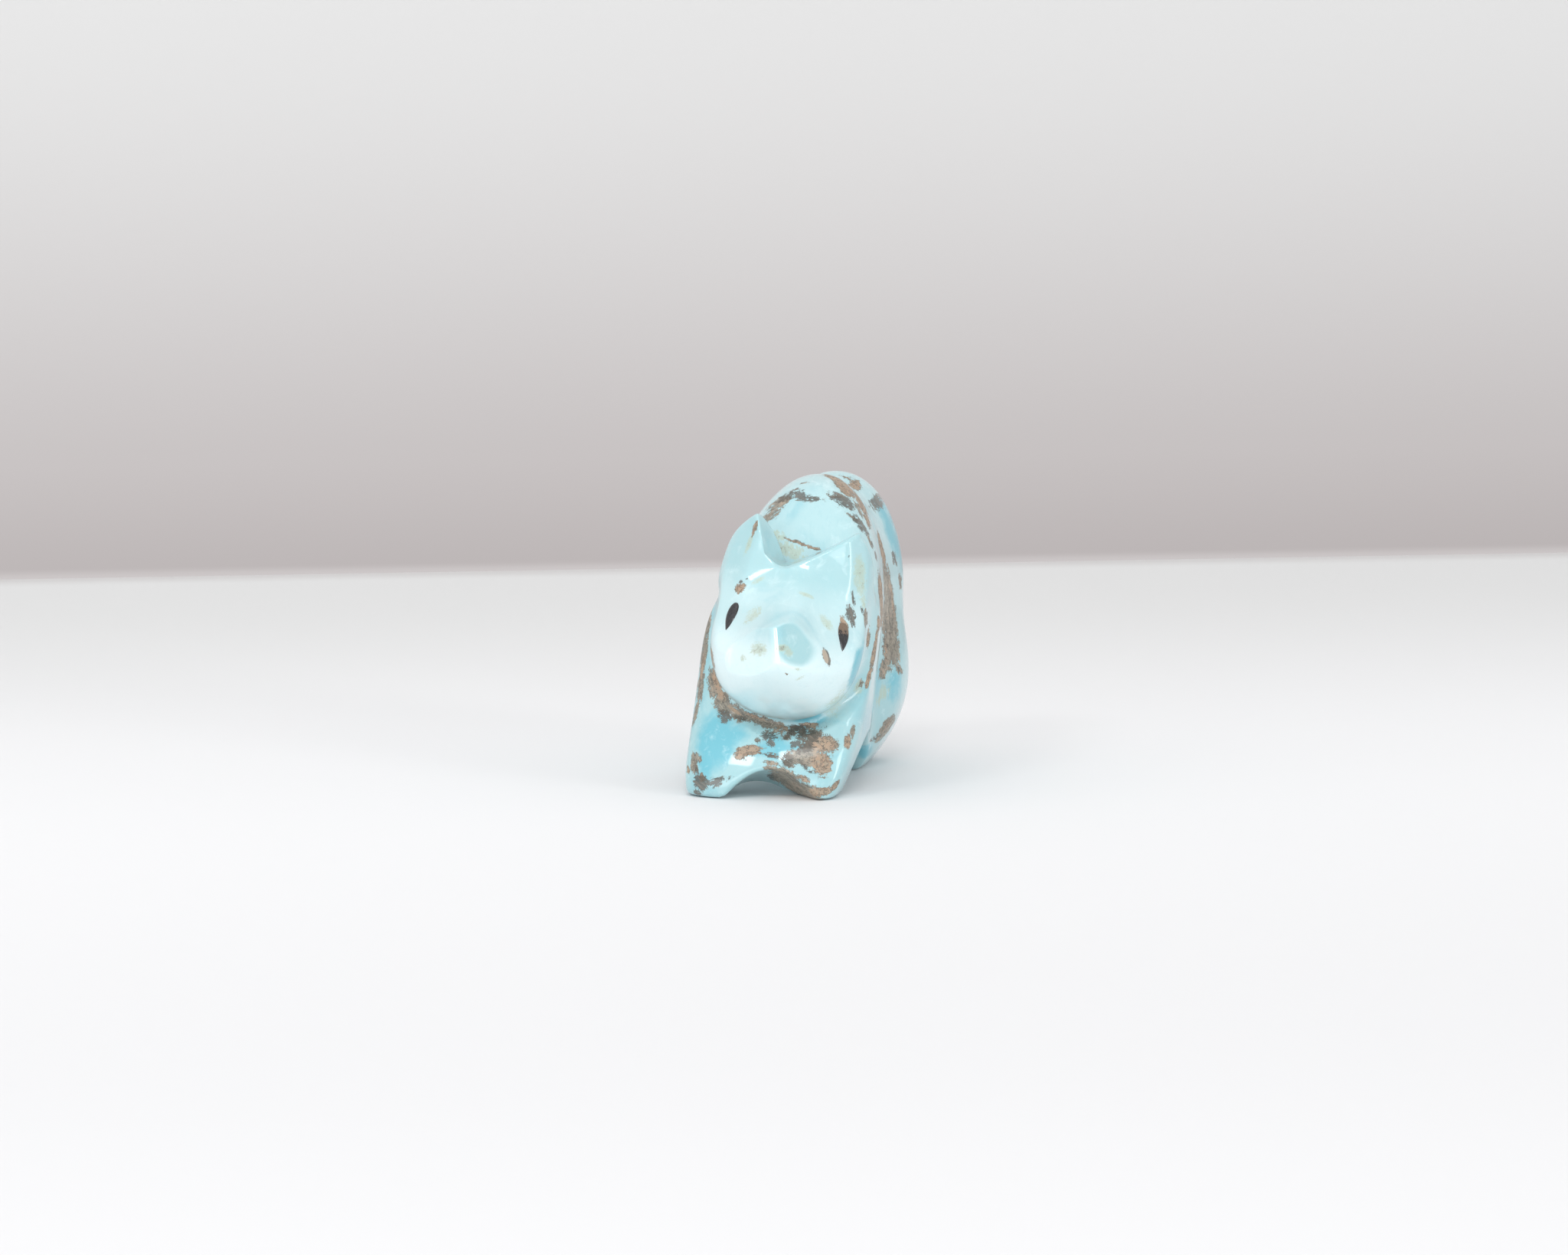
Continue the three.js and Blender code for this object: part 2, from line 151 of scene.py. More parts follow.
# Face: a jaw cone, a hollow forehead with a bevel down each side, and full cheeks beside the muzzle
JAW_CONE = SimpleNamespace(depth=7.2, drop=5.95, rise=13, power=1.55)
BROW = SimpleNamespace(
    depth=8.6, flare=7, start=1.3, power=1.4, side=0.462, middle=0.2, top=0.56, drop=0.435,
    change=(-2.5, -0.1),
)
BEVEL = SimpleNamespace(width=4.35, narrowing=0.0235, start=2, height=7, slope=0.95)
CHEEK = SimpleNamespace(fullness=0.34, middle=1.6, spread=1.7, fade=(0.3, 3.5))

# Muzzle: each flat falls away from the nose by its slopes to the bear's left and upwards
FLATS = SimpleNamespace(left=(0.9, 0.75), right=(-1.15, 0.145), end=4.3, ridge=1.3)

# Neck: a groove behind the head, and how much it grows from under the jaw to beside the ears
GROOVE = SimpleNamespace(
    out=0.25, out_growth=2.2, back=8.2, back_growth=1.5, radius=0.45, radius_growth=2.15, rise=(-7, -0.5)
)

# Nape: a valley across the neck. The foot of the bear's right ear spreads a little farther back.
NAPE = SimpleNamespace(
    floor=5, ear_foot=11.58, ear_slope=2.3, ear_spread=0.05, hump_foot=12, hump_slope=1.7, end=15.5
)

# Belly: a round notch from side to side, whose axis lies below the floor
BELLY = SimpleNamespace(place=-1.2, radius=7.6, drop=3.4)

# Scoops between the legs are arches. The fore one swerves, narrows and sinks to the back.
FORE_SCOOP = SimpleNamespace(
    start=-13, length=3.6, reach=(-0.4, 1.67), middle=1.15, swerve=1.5, half_width=4.2, narrowing=1.2,
    height=2.8, sinking=1.3,
)
HIND_SCOOP = SimpleNamespace(start=3, half_width=2.6, height=2.6)

# Ears: parted by a notch. Its wall to the bear's left is slack, the one to its right starts short
# and low and is then steep, curved and askew.
SLACK_WALL = SimpleNamespace(foot=-1.6, level=4.85, slope=0.5, bend=0.03)
SHORT_WALL = SimpleNamespace(foot=-1.5, level=4.9, slope=0.62)
STEEP_WALL = SimpleNamespace(
    foot=-2.7, level=5.76, slope=3.6, bend=0.6, turn=0.45, turn_middle=9.2, start=-0.8
)
NOTCH_FOOT, NOTCH_END = (3, 4), (11.6, 12.4)  # heights where it starts, depths where it ends
# The face turns back before the notch in a quarter circle of this radius. That ends between these
# depths, and to the bear's right between these places.
NOTCH_EDGE, NOTCH_EDGE_END, NOTCH_EDGE_SIDE = 0.2, (9, 10.5), (-2.5, -1)


def trunk_form(x, y, z, slimming):
    """An arch: x over the half width, and height over that of the back line, in a circle."""
    arch = np.maximum(curve_through(y, BACK_LINE) - TRUNK.level, TRUNK.least_arch)
    rise = np.maximum(z - TRUNK.level, 0) / arch
    return (np.hypot(x / (curve_through(y, FLANK_LINE) - slimming), rise) - 1) * TRUNK.sharpness


def chest_form(x, y, z):
    """A slightly crowned plane, upright at the fore feet and then leaning back to the throat."""
    leaning = CHEST.feet_front + CHEST.lean_back * (z - CHEST.knee_level)
    front = round_min(round_max(CHEST.feet_front, leaning, 2), CHEST.throat, 1.5)
    return (front - y + CHEST.crown * x * x) * CHEST.sharpness


def rump_form(y, z):
    """One ellipse seen from the side."""
    back = np.maximum(y - RUMP.start, 0) / RUMP.depth
    return (np.hypot(back, (z - RUMP.level) / RUMP.height) - 1) * RUMP.sharpness


def thigh_form(x, y, z):
    """An ellipsoid on each flank: its norm less 1, times its first radius."""
    sides = zip((abs(x), y, z), THIGH.middle, THIGH.radii)
    offsets = [(place - middle) / radius for place, middle, radius in sides]
    return (np.sqrt(sum(offset**2 for offset in offsets)) - 1) * THIGH.radii[0]


def leg_sides(x, y, z):
    """The outer faces, drawn in by a power of how far they are below the top of the legs."""
    low = np.maximum(LEGS.top - z, 0) / LEGS.top
    fore_taper = LEGS.right_taper + LEGS.left_extra * ease(x, *LEGS.across)
    fore = LEGS.fore_width - fore_taper * low**LEGS.fore_power
    hind = LEGS.hind_width - LEGS.hind_taper * low**LEGS.hind_power
    share = ease(y, *LEGS.change)
    return abs(x) - (fore * (1 - share) + hind * share)


def body_form(x, y, z):
    """The body's forms joined with round corners, and x without the lean."""
    sway = bell(z, LEAN.level, LEAN.spread)
    x = x - LEAN.slope * z - LEAN.swing * sway
    body = round_max(trunk_form(x, y, z, LEAN.slimming * sway), chest_form(x, y, z), 1.6)
    body = round_max(body, rump_form(y, z), 1.5)
    body = round_min(body, thigh_form(x, y, z), 1.6)
    return round_max(body, leg_sides(x, y, z), 0.8), x


def to_head(x, y, z):
    """Turns a place into the head's frame: u to the bear's left, v up, t back from the nose."""
    dx, dy, dz = x - HEAD_BASE[0], y - HEAD_BASE[1], z - HEAD_BASE[2]
    across = dx * np.cos(HEAD_YAW) + dy * np.sin(HEAD_YAW)
    u = across * np.cos(HEAD_ROLL) - dz * np.sin(HEAD_ROLL)
    v = across * np.sin(HEAD_ROLL) + dz * np.cos(HEAD_ROLL)
    return u, v, dy * np.cos(HEAD_YAW) - dx * np.sin(HEAD_YAW)


def from_head(u, v, t):
    """The same turn backwards, to an array of (x, y, z) rows."""
    across = u * np.cos(HEAD_ROLL) + v * np.sin(HEAD_ROLL)
    x = HEAD_BASE[0] + across * np.cos(HEAD_YAW) - t * np.sin(HEAD_YAW)
    y = HEAD_BASE[1] + across * np.sin(HEAD_YAW) + t * np.cos(HEAD_YAW)
    return np.stack([x, y, HEAD_BASE[2] + v * np.cos(HEAD_ROLL) - u * np.sin(HEAD_ROLL)], -1)


def head_outline(u, v):
    """1 on the rim of the head from the front: a round norm at the jaw, a squarer one at the ears."""
    half = OUTLINE.half + (OUTLINE.swell - OUTLINE.slant * u) * ease(v, *OUTLINE.swell_rise)
    jaw = super_norm(u / half, v / OUTLINE.jaw, OUTLINE.jaw_power)
    return np.where(v < 0, jaw, super_norm(u / half, v / OUTLINE.ears, OUTLINE.ear_power))


def jaw_cone(u, v):
    """A blunt cone round the nose: its depth times a power of the way out to the rim."""
    dv = v - NOSE_V
    reach = np.where(dv < 0, JAW_CONE.drop, JAW_CONE.rise)
    out = super_norm((u - NOSE_U) / OUTLINE.half, dv / reach, OUTLINE.jaw_power)
    return JAW_CONE.depth * out**JAW_CONE.power


def forehead(u, v):
    """Hollow like a trumpet: its depth less a flare that decays on the way out from the muzzle. Past
    the rim of the bevel it keeps the rim's depth and a slope is added."""
    rim_drop = BEVEL.narrowing * np.clip(v - BEVEL.start, 0, BEVEL.height) ** 2
    beyond = soft_ramp(abs(u) - BEVEL.width + rim_drop, 0.08)
    inner = u - np.sign(u) * beyond * ease(abs(u), 0, 1)
    full = CHEEK.fullness * bell(inner, CHEEK.middle, CHEEK.spread) * (1 - ease(v, *CHEEK.fade))
    side = BROW.side * np.hypot(inner - BROW.middle, 1) + full
    top = BROW.top * soft_ramp(v + BROW.drop, 0.6)
    flare = BROW.flare * np.exp(BROW.start - super_norm(side, top, BROW.power))
    return BROW.depth - flare + BEVEL.slope * beyond


def face_parts(u, v):
    """Depths of the face without its muzzle, and of the muzzle's flats to the bear's left and right."""
    cone = jaw_cone(u, v)
    share = ease(v, *BROW.change)
    face = cone * (1 - share) + np.maximum(forehead(u, v), cone) * share
    du, dv = u - NOSE_U, v - NOSE_V
    left, right = (to_left * du + to_top * dv for to_left, to_top in (FLATS.left, FLATS.right))
    return face, left, right


def face_depth(u, v):
    """How far back the stone begins: the deeper of the face and the muzzle's two flats."""
    face, left, right = face_parts(u, v)
    flats = round_min(round_max(left, right, FLATS.ridge), FLATS.end, 0.4)
    return round_max(face, flats, 0.16)


def left_flat_shade(u, v):
    """1 on the muzzle's flat to the bear's left, where it is deeper than the face beside it: the mask of the
    painted shade on that flat, which turns away from the light.
    """
    face, left, right = face_parts(u, v)
    return ease(np.minimum(left, FLATS.end) - np.maximum(face, right), -0.05, 0.45)


def head_form(u, v, t):
    """The face, the rim of the outline and the back of the head, joined with round corners."""
    front = (face_depth(u, v) - t) * 0.5
    rim = (head_outline(u, v) - 1) * 5
    return round_max(round_max(front, rim, 0.6), t - HEAD_DEPTH, 1)


def neck_groove(u, v, t):
    """A ring round the head, thin under the jaw and deep beside the ears: distance less radius."""
    side = ease(v, *GROOVE.rise)
    out = (head_outline(u, v) - 1) * 6.5 - GROOVE.out - GROOVE.out_growth * side
    back = t - GROOVE.back - GROOVE.back_growth * side
    return np.hypot(out * 0.95, back) - GROOVE.radius - GROOVE.radius_growth * side


def cuts(x, y, z, leaning, u, v, t):
    """The cuts in turn, each with the width of its round corner.

    The nape is a valley of two slopes, the belly notch a circle from the side, each scoop a parabola
    from the front, and the floor a plane.
    """
    ears = NAPE.ear_foot - NAPE.ear_spread * np.minimum(u, 0) - t
    hump = t - NAPE.hump_foot
    valley = round_max(NAPE.floor + NAPE.hump_slope * hump, NAPE.floor + NAPE.ear_slope * ears, 1.2)
    yield round_min((v - valley) * 0.25, NAPE.end - t, 0.4), 0.35
    yield BELLY.radius - np.hypot(y - BELLY.place, z + BELLY.drop), 0.5
    share = np.clip((y - FORE_SCOOP.start) / FORE_SCOOP.length, *FORE_SCOOP.reach)
    half_width = FORE_SCOOP.half_width - FORE_SCOOP.narrowing * share
    place = (x - FORE_SCOOP.middle + FORE_SCOOP.swerve * share) / half_width
    height = FORE_SCOOP.height - FORE_SCOOP.sinking * share
    yield (height * (1 - place**2) - z) * 0.75, 0.3
    arch = HIND_SCOOP.height * (1 - (leaning / HIND_SCOOP.half_width) ** 2)
    yield round_min((arch - z) * 0.7, y - HIND_SCOOP.start, 0.3), 0.4
    yield -z, 0.45


def carving(x, y, z):
    """The whole stone: body and head joined, the neck groove taken from both, then the cuts."""
    body, leaning = body_form(x, y, z)
    u, v, t = to_head(x, y, z)
    groove = -neck_groove(u, v, t)
    stone = round_min(
        round_max(body, groove, 0.6), round_max(head_form(u, v, t), groove, 0.6), 0.6
    )
    for cut, corner in cuts(x, y, z, leaning, u, v, t):
        stone = round_max(stone, cut, corner)
    return stone


def outward(points, form=carving):
    """Unit direction in which a form grows fastest, from differences over a small step."""
    step = 0.03 * np.eye(3)
    slope = [form(*(points + d).T) - form(*(points - d).T) for d in step]
    slope = np.stack(slope, -1)
    return slope / np.linalg.norm(slope, axis=1, keepdims=True)


def ear_notch(u, t):
    """Height v of the notch that parts the ears: the highest of its three walls, a parabola, a
    straight slope and a curve that flattens as it rises and turns with t."""
    out = u - SLACK_WALL.foot
    slack = SLACK_WALL.level + SLACK_WALL.slope * out + SLACK_WALL.bend * out**2
    short = SHORT_WALL.level + SHORT_WALL.slope * (SHORT_WALL.foot - u)
    askew = STEEP_WALL.foot - u + STEEP_WALL.turn * (t - STEEP_WALL.turn_middle)
    askew = np.maximum(askew, STEEP_WALL.start)
    steep = STEEP_WALL.level + STEEP_WALL.slope * askew / (1 + STEEP_WALL.bend * np.maximum(askew, 0))
    return round_max(round_max(slack, short, 0.8), steep, 0.7)


def press_notch(points):
    """Presses what stands above the ear notch down onto it, as far back as the nape.

    First the face is turned back in a quarter circle where it comes up to the notch, and then v
    becomes the smaller of v and the notch.
    """
    u, v, t = to_head(*points.T)
    held = (1 - ease(t, *NOTCH_END)) * ease(v, *NOTCH_FOOT)
    turned = np.clip((v - ear_notch(u, t)) / NOTCH_EDGE + 1, 0, 1)
    fore = held * (1 - ease(t, *NOTCH_EDGE_END)) * ease(u, *NOTCH_EDGE_SIDE)
    t = t + NOTCH_EDGE * (1 - np.sqrt(1 - turned**2)) * fore
    deep = (round_min(v, ear_notch(u, t), 0.3) - v) * held
    return from_head(u, v + deep, t)


# The skin
SPINE_FRONT, SPINE_BACK = np.array([2.5, -6, 12.2]), np.array([1.3, 10, 12.5])
SPINE_DROP = np.array([0, 1.5, -4.2])
HEAD_SHARE = 0.56  # share of the rows that fall on the head
HEAD_TILT = np.radians(-5)  # tilt of the ray where the spine begins to move back
NOSE_TILT = 1.2  # rays that tilt forwards by more radians than this leave the drop again
EAR_CROWDING = 0.3  # how much closer the rows stand at the ears than at the flanks
ROWS_AROUND, ROWS_ALONG = 300, 318
STRIDE, HALVINGS = 0.4, 14


def leave_stone(origins, directions):
    """Sends each ray out in strides until it is outside, then halves the last stride."""
    reach = np.full(len(origins), STRIDE)
    going = np.arange(len(origins))
    while len(going):
        places = origins[going] + directions[going] * reach[going, None]
        going = going[carving(*places.T) < 0]
        reach[going] += STRIDE
    low, high = reach - STRIDE, reach
    for _ in range(HALVINGS):
        middle = (low + high) / 2
        inside = carving(*(origins + directions * middle[:, None]).T) < 0
        low, high = np.where(inside, middle, low), np.where(inside, high, middle)
    return origins + directions * low[:, None]


@functools.cache
def skin_points():
    """Points of the skin: a sphere of rays whose origin moves back along the spine behind the ears.

    Rays that look down start lower, so that they meet the chest less askew. Row 0 is the pole at
    the nose and the last row the pole at the rump.
    """
    along = np.linspace(0, 1, ROWS_ALONG + 1)
    turn = np.linspace(0, 2 * np.pi, ROWS_AROUND, endpoint=False)
    around = turn - EAR_CROWDING * np.sin(turn)
    behind = np.maximum(along - HEAD_SHARE, 0) / (1 - HEAD_SHARE)
    ahead = np.minimum(along / HEAD_SHARE, 1)
    tilt = -np.pi / 2 + (HEAD_TILT + np.pi / 2) * ahead
    tilt = tilt + (np.pi / 2 - tilt) * behind
    tilt, around = np.meshgrid(tilt, around, indexing="ij")
    behind = np.broadcast_to(behind[:, None], tilt.shape)
    rays = np.stack([np.cos(tilt) * np.sin(around), np.sin(tilt), np.cos(tilt) * np.cos(around)], -1)
    down = (1 - behind) * ((1 - np.cos(around)) / 2)
    down = down * (1 - ease(-tilt, NOSE_TILT, np.pi / 2))
    starts = SPINE_FRONT + (SPINE_BACK - SPINE_FRONT) * behind[..., None]
    starts = starts + SPINE_DROP * down[..., None]
    points = leave_stone(starts.reshape(-1, 3), rays.reshape(-1, 3))
    around_rows = slice(ROWS_AROUND, -ROWS_AROUND)
    return press_notch(np.concatenate([points[:1], points[around_rows], points[-1:]]))


@functools.cache
def fit():
    """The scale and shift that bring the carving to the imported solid's box, floor to floor."""
    low, high = np.array(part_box("bear_carving"))
    points = skin_points()
    scale = (high - low) / (points.max(0) - points.min(0))
    return scale, low - points.min(0) * scale


def placed(points):
    """Carving units to metres in the row frame."""
    scale, shift = fit()
    return points * scale + shift


def sphere_faces(rings, columns):
    """Quads between the rings of a sphere's grid, with a fan of triangles at each pole."""
    here = np.arange(columns)
    after = (here + 1) % columns
    start = 1 + columns * np.arange(rings - 1)[:, None]
    quads = np.stack(
        [start + here, start + after, start + columns + after, start + columns + here], -1
    ).reshape(-1, 4)
    last = 1 + columns * (rings - 1)
    first_fan = np.stack([np.zeros_like(here), 1 + after, 1 + here], -1)
    last_fan = np.stack([np.full(columns, last + columns), last + here, last + after], -1)
    return quads, np.concatenate([first_fan, last_fan])


def build_mesh(name, points, quads, triangles, material, node):
    """Puts whole arrays into a smooth mesh object that stands for a CAD node."""
    mesh = bpy.data.meshes.new(name)
    mesh.vertices.add(len(points))
    mesh.vertices.foreach_set("co", placed(points).astype(np.float32).ravel())
    corners = np.concatenate([quads.ravel(), triangles.ravel()]).astype(np.int32)
    starts = np.concatenate([
        4 * np.arange(len(quads)), 4 * len(quads) + 3 * np.arange(len(triangles))
    ]).astype(np.int32)
    mesh.loops.add(len(corners))
    mesh.loops.foreach_set("vertex_index", corners)
    mesh.polygons.add(len(starts))
    mesh.polygons.foreach_set("loop_start", starts)
    mesh.update(calc_edges=True)
    mesh.validate()
    mesh.shade_smooth()
    piece = bpy.data.objects.new(name, mesh)
    bpy.context.scene.collection.objects.link(piece)
    mesh.materials.append(material)
    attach(piece, "root")
    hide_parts(node)
    return piece


def write_attribute(mesh, name, values, kind="FLOAT"):
    """A value or vector at each vertex, for the material to read."""
    layer = mesh.attributes.new(name, kind, "POINT")
    layer.data.foreach_set("value" if kind == "FLOAT" else "vector", values.astype(np.float32).ravel())


# The photograph's camera
# Seen from the fore feet it stands 10 degrees to the bear's left, 8.5 degrees up and 400 away.
DEG = np.pi / 180
IMAGE_WIDTH, IMAGE_HEIGHT = 2048, 1639
FOCAL_PIXELS = 6533.0
FEET, FEET_PIXEL = np.array([0, -13.0, 0]), (988.0, 1052.7)
CAMERA_AWAY, CAMERA_SIDE, CAMERA_RISE = 400.0, 10 * DEG, 8.5 * DEG


def direction(side, rise):
    """Unit direction by its angles to the bear's left of straight ahead, and up, in radians."""
    return np.array([np.sin(side) * np.cos(rise), -np.cos(side) * np.cos(rise), np.sin(rise)])


def camera_frame():
    """The camera's place in carving units and its unit directions right, up and forwards."""
    place = FEET + CAMERA_AWAY * direction(CAMERA_SIDE, CAMERA_RISE)
    turn = CAMERA_SIDE + np.arctan((FEET_PIXEL[0] - IMAGE_WIDTH / 2) / FOCAL_PIXELS)
    drop = CAMERA_RISE - np.arctan((FEET_PIXEL[1] - IMAGE_HEIGHT / 2) / FOCAL_PIXELS)
    ahead = -direction(turn, drop)
    right = np.cross(ahead, (0, 0, 1))
    right /= np.linalg.norm(right)
    return place, right, np.cross(right, ahead), ahead


def pixel_rays(column, row):
    """The camera's place and the way to a pixel: ahead, plus its shares of right and of down."""
    place, right, up, ahead = camera_frame()
    across = (np.asarray(column, float) - IMAGE_WIDTH / 2) / FOCAL_PIXELS
    down = (np.asarray(row, float) - IMAGE_HEIGHT / 2) / FOCAL_PIXELS
    return place, ahead + across[..., None] * right - down[..., None] * up


# Marks in the stone
# What shows in the photograph is placed in its frame of 2048 by 1639 pixels: column, row,
# half length and half width in pixels, tilt in degrees, strength, and where the stone bends away
# under the mark a depth in carving units.
SEEN_MARKS = {
    "umber": (
        (920, 825, 26, 4, 102, 1.1, 1.1), (916, 857, 29, 4.5, 98, 1.2, 1.1), (932, 783, 11, 2.6, 100, 0.7),
        (912, 898, 28, 4.3, 97, 1.1, 1.1), (905, 937, 19, 3.3, 100, 1), (1157, 953, 20, 8.5, -48, 1.2),
        (1147, 967, 11, 6, -40, 0.9), (1118, 668, 16, 3, 68, 0.45), (1003, 677, 15, 8, -42, 0.7),
        (1017, 659, 23, 8, -36, 0.8), (1047, 634, 11, 2, 0, 0.65), (1087, 651, 15, 3, 6, 0.7),
        (1111, 679, 12, 3, 30, 0.7), (1134, 711, 12, 2.6, 68, 0.9), (1128, 813, 12, 3, 88, 0.8),
        (1135, 873, 22, 2.2, 100, 0.7), (1122, 898, 7, 3.5, 110, 0.7), (1111, 961, 11, 4, 104, 0.9),
        (926, 867, 23, 6.5, 79, 1.1, 1.1), (930, 898, 22, 11, 76, 1.2, 1.1), (941, 923, 19, 13, 52, 1.2),
        (959, 937, 19, 10, 34, 1.1), (982, 944, 19, 8, 16, 1.1), (1004, 954, 20, 9, 16, 1.2, 2),
        (1020, 963, 17, 8.5, 18, 1.1, 2), (1038, 960, 20, 10, 8, 1.2, 2), (1057, 961, 17, 8.5, 16, 1.1, 1.5),
        (1053, 994, 28, 14, 10, 1.2), (1028, 997, 12, 11, 0, 1.1), (1083, 977, 10, 7, 60, 1, 1),
        (1005, 991, 11, 3.3, 12, 0.9), (1004, 1002, 11, 3, 8, 0.9), (1010, 1011, 17, 4.5, 10, 0.9),
        (1010, 1020, 13, 7, 60, 1.1), (1027, 1025, 32, 14, 40, 1.35), (1050, 1039, 23, 11, 22, 1.3),
        (903, 1001, 20, 6, 78, 1.1), (909, 995, 12, 4, 62, 0.8), (983, 692, 6, 3.5, 105, 0.6),
        (1157, 777, 43, 8, 80, 1.3, 3.6), (1159, 817, 50, 12, 86, 1.4, 4.2),
        (1161, 850, 30, 13, 88, 1.3, 4.2), (1152, 877, 17, 7, 104, 1.1, 2.5),
        (1172, 879, 9, 4.5, 74, 1, 2), (1173, 763, 13, 2.7, 84, 0.9, 1.5),
    ),
    "rust": (
        (1149, 723, 26, 3.6, 76, 1.1), (1156, 952, 17, 3, -48, 0.9), (1085, 627, 17, 5, 26, 1.1),
        (1100, 640, 20, 9, 44, 1.1), (1115, 637, 9.5, 9, 50, 0.9), (1103, 627, 11, 3, 20, 0.5),
        (1122, 661, 22, 5.5, 68, 1.1), (1129, 681, 15, 3.5, 72, 0.8), (1042, 715, 24, 2.8, 22, 1.1),
        (1058, 719, 11, 3.5, 10, 0.8), (982, 694, 12, 2.8, 105, 0.9), (963, 772, 9, 7, 0, 1.2),
        (1099, 820, 12, 6, 80, 0.9), (1131, 838, 15, 3, 92, 0.9), (1145, 820, 13, 3, 84, 1),
        (1139, 857, 33, 2.8, 98, 1.1), (1131, 892, 24, 3, 106, 1.1), (1104, 974, 13, 5.5, 104, 1.1),
        (1088, 1032, 15, 4, -40, 1.1), (925, 857, 10, 3, 80, 1, 1.1), (931, 892, 17, 4.5, 77, 1.1, 1.1),
        (938, 911, 15, 5, 62, 1.1), (956, 933, 15, 3, 36, 0.9), (982, 941, 15, 2.7, 18, 0.8),
        (1022, 957, 17, 4, 12, 0.9), (1055, 952, 17, 3.3, 0, 0.9), (1069, 977, 25, 13, 2, 1.2),
        (1070, 1003, 15, 17, 0, 1.2), (974, 986, 21, 8, -6, 1.3), (962, 993, 9, 5.5, 0, 1.1),
        (1067, 1040, 19, 7, -8, 1.1), (1047, 1023, 10, 4, 30, 0.8), (895, 1011, 9, 2.7, 70, 0.9),
        (913, 1020, 7, 4.5, 70, 0.9), (914, 877, 20, 2, 98, 0.8, 1.1), (1149, 797, 57, 4.3, 86, 1.2, 1.6),
        (1163, 790, 30, 2, 82, 0.8, 1.5), (1154, 857, 20, 2.3, 88, 0.9, 1.5), (1024, 885, 3, 1.7, 30, 0.9),
    ),
    "black": (
        (1137, 971, 15, 4, -18, 0.9), (1141, 661, 10, 14, 60, 0.85), (1147, 655, 6, 9, 0, 0.65),
        (1165, 733, 10, 4.5, 70, 0.8), (1027, 651, 17, 6.5, -25, 0.65), (1052, 654, 23, 5, 6, 0.8),
        (1041, 649, 9, 6.5, 20, 0.7), (1098, 658, 20, 9.5, 28, 0.85), (1121, 689, 17, 6, 48, 0.8),
        (1141, 730, 8, 1.8, 84, 0.9), (1021, 671, 2, 2, 0, 0.65), (964, 764, 4.5, 3, 10, 1.1),
        (972, 760, 2, 1.4, 0, 0.8), (1112, 786, 10, 2.7, 84, 0.8), (1108, 808, 13, 7.5, 80, 0.75),
        (1123, 801, 5, 3, 80, 0.8), (1111, 821, 4.5, 3, 70, 0.6), (1106, 731, 1.5, 1.8, 0, 1.1),
        (944, 941, 13, 9, 35, 1), (965, 944, 11, 4, 20, 0.7), (1001, 967, 15, 6, 8, 0.9),
        (987, 973, 4.5, 4, 0, 0.9), (1003, 976, 6.5, 4.3, 40, 0.9), (1043, 966, 15, 8, 20, 1),
        (1065, 956, 12, 3.3, 0, 0.9), (1035, 977, 8.5, 6, -20, 0.9), (1024, 997, 11, 9, 40, 1),
        (1049, 983, 7, 14, 75, 0.9), (1060, 967, 20, 2.7, -6, 0.8), (1053, 1011, 15, 2.7, 40, 0.7),
        (969, 997, 6.5, 2, 10, 0.7), (1003, 992, 13, 3.3, 10, 0.8), (912, 1027, 13, 11, 40, 1.1),
        (932, 1027, 15, 6.5, -22, 1.1), (907, 1041, 8.5, 4.5, 10, 1), (906, 1011, 13, 2.7, 75, 0.7),
        (947, 1023, 8.5, 2.7, -30, 0.7), (1021, 966, 13, 5, 14, 0.9, 1), (1038, 954, 13, 3.3, -2, 1, 2),
        (1057, 967, 11, 11, 30, 1.1, 1), (1053, 978, 7, 10, 80, 1, 1), (1003, 1020, 7, 4.5, 50, 0.9),
        (1076, 863, 12, 5, 72, 0.8),
    ),
    "olive": (
        (1025, 722, 28, 11.5, 20, 1), (1012, 703, 12, 8, 40, 1), (974, 716, 17, 3.6, 112, 0.9),
        (987, 762, 10.5, 3.6, -22, 0.9), (1120, 757, 30, 9, 84, 1), (1125, 789, 11, 4.4, 80, 0.8),
        (1023, 851, 9, 5, -10, 1), (987, 852, 25, 9.5, 12, 0.9), (967, 864, 7, 5, 0, 0.9),
        (1049, 781, 11, 3.3, 20, 0.8), (1077, 818, 13, 6.5, 50, 0.8), (979, 808, 14, 8, 132, 0.8),
        (1039, 879, 9, 1.8, 10, 0.7), (1041, 891, 7.5, 2.2, -20, 0.8), (1118, 903, 12, 7, 120, 1),
        (1150, 912, 17, 9.5, 130, 0.6), (1088, 925, 24, 9, 122, 0.5), (1019, 851, 11, 5.3, -12, 1.6),
        (1027, 857, 8.5, 6.5, 0, 0.9),
    ),
    # Deep: the stone's own stronger blue on the chest, and painted shade on the rump's edge and the hind
    # leg, which turn from the light
    "deep": (
        (933, 970, 46, 30, 95, 1), (918, 1000, 27, 15, 95, 0.7), (953, 963, 23, 19, 0, 0.6),
        (1118, 877, 31, 10, 105, 0.8, 1.7), (1133, 943, 31, 15, 110, 0.7), (1161, 690, 46, 11.5, 78, 0.7),
        (1152, 673, 23, 9, 70, 0.6), (1010, 983, 27, 13, 0, 0.5), (1128, 988, 17, 11.5, 0, 0.7),
        (1167, 900, 27, 15, 100, 0.5), (1057, 943, 34, 6, 8, 0.4),
    ),
    "chip": (
        (1075, 862, 11, 4.3, 72, 1),
    ),
}
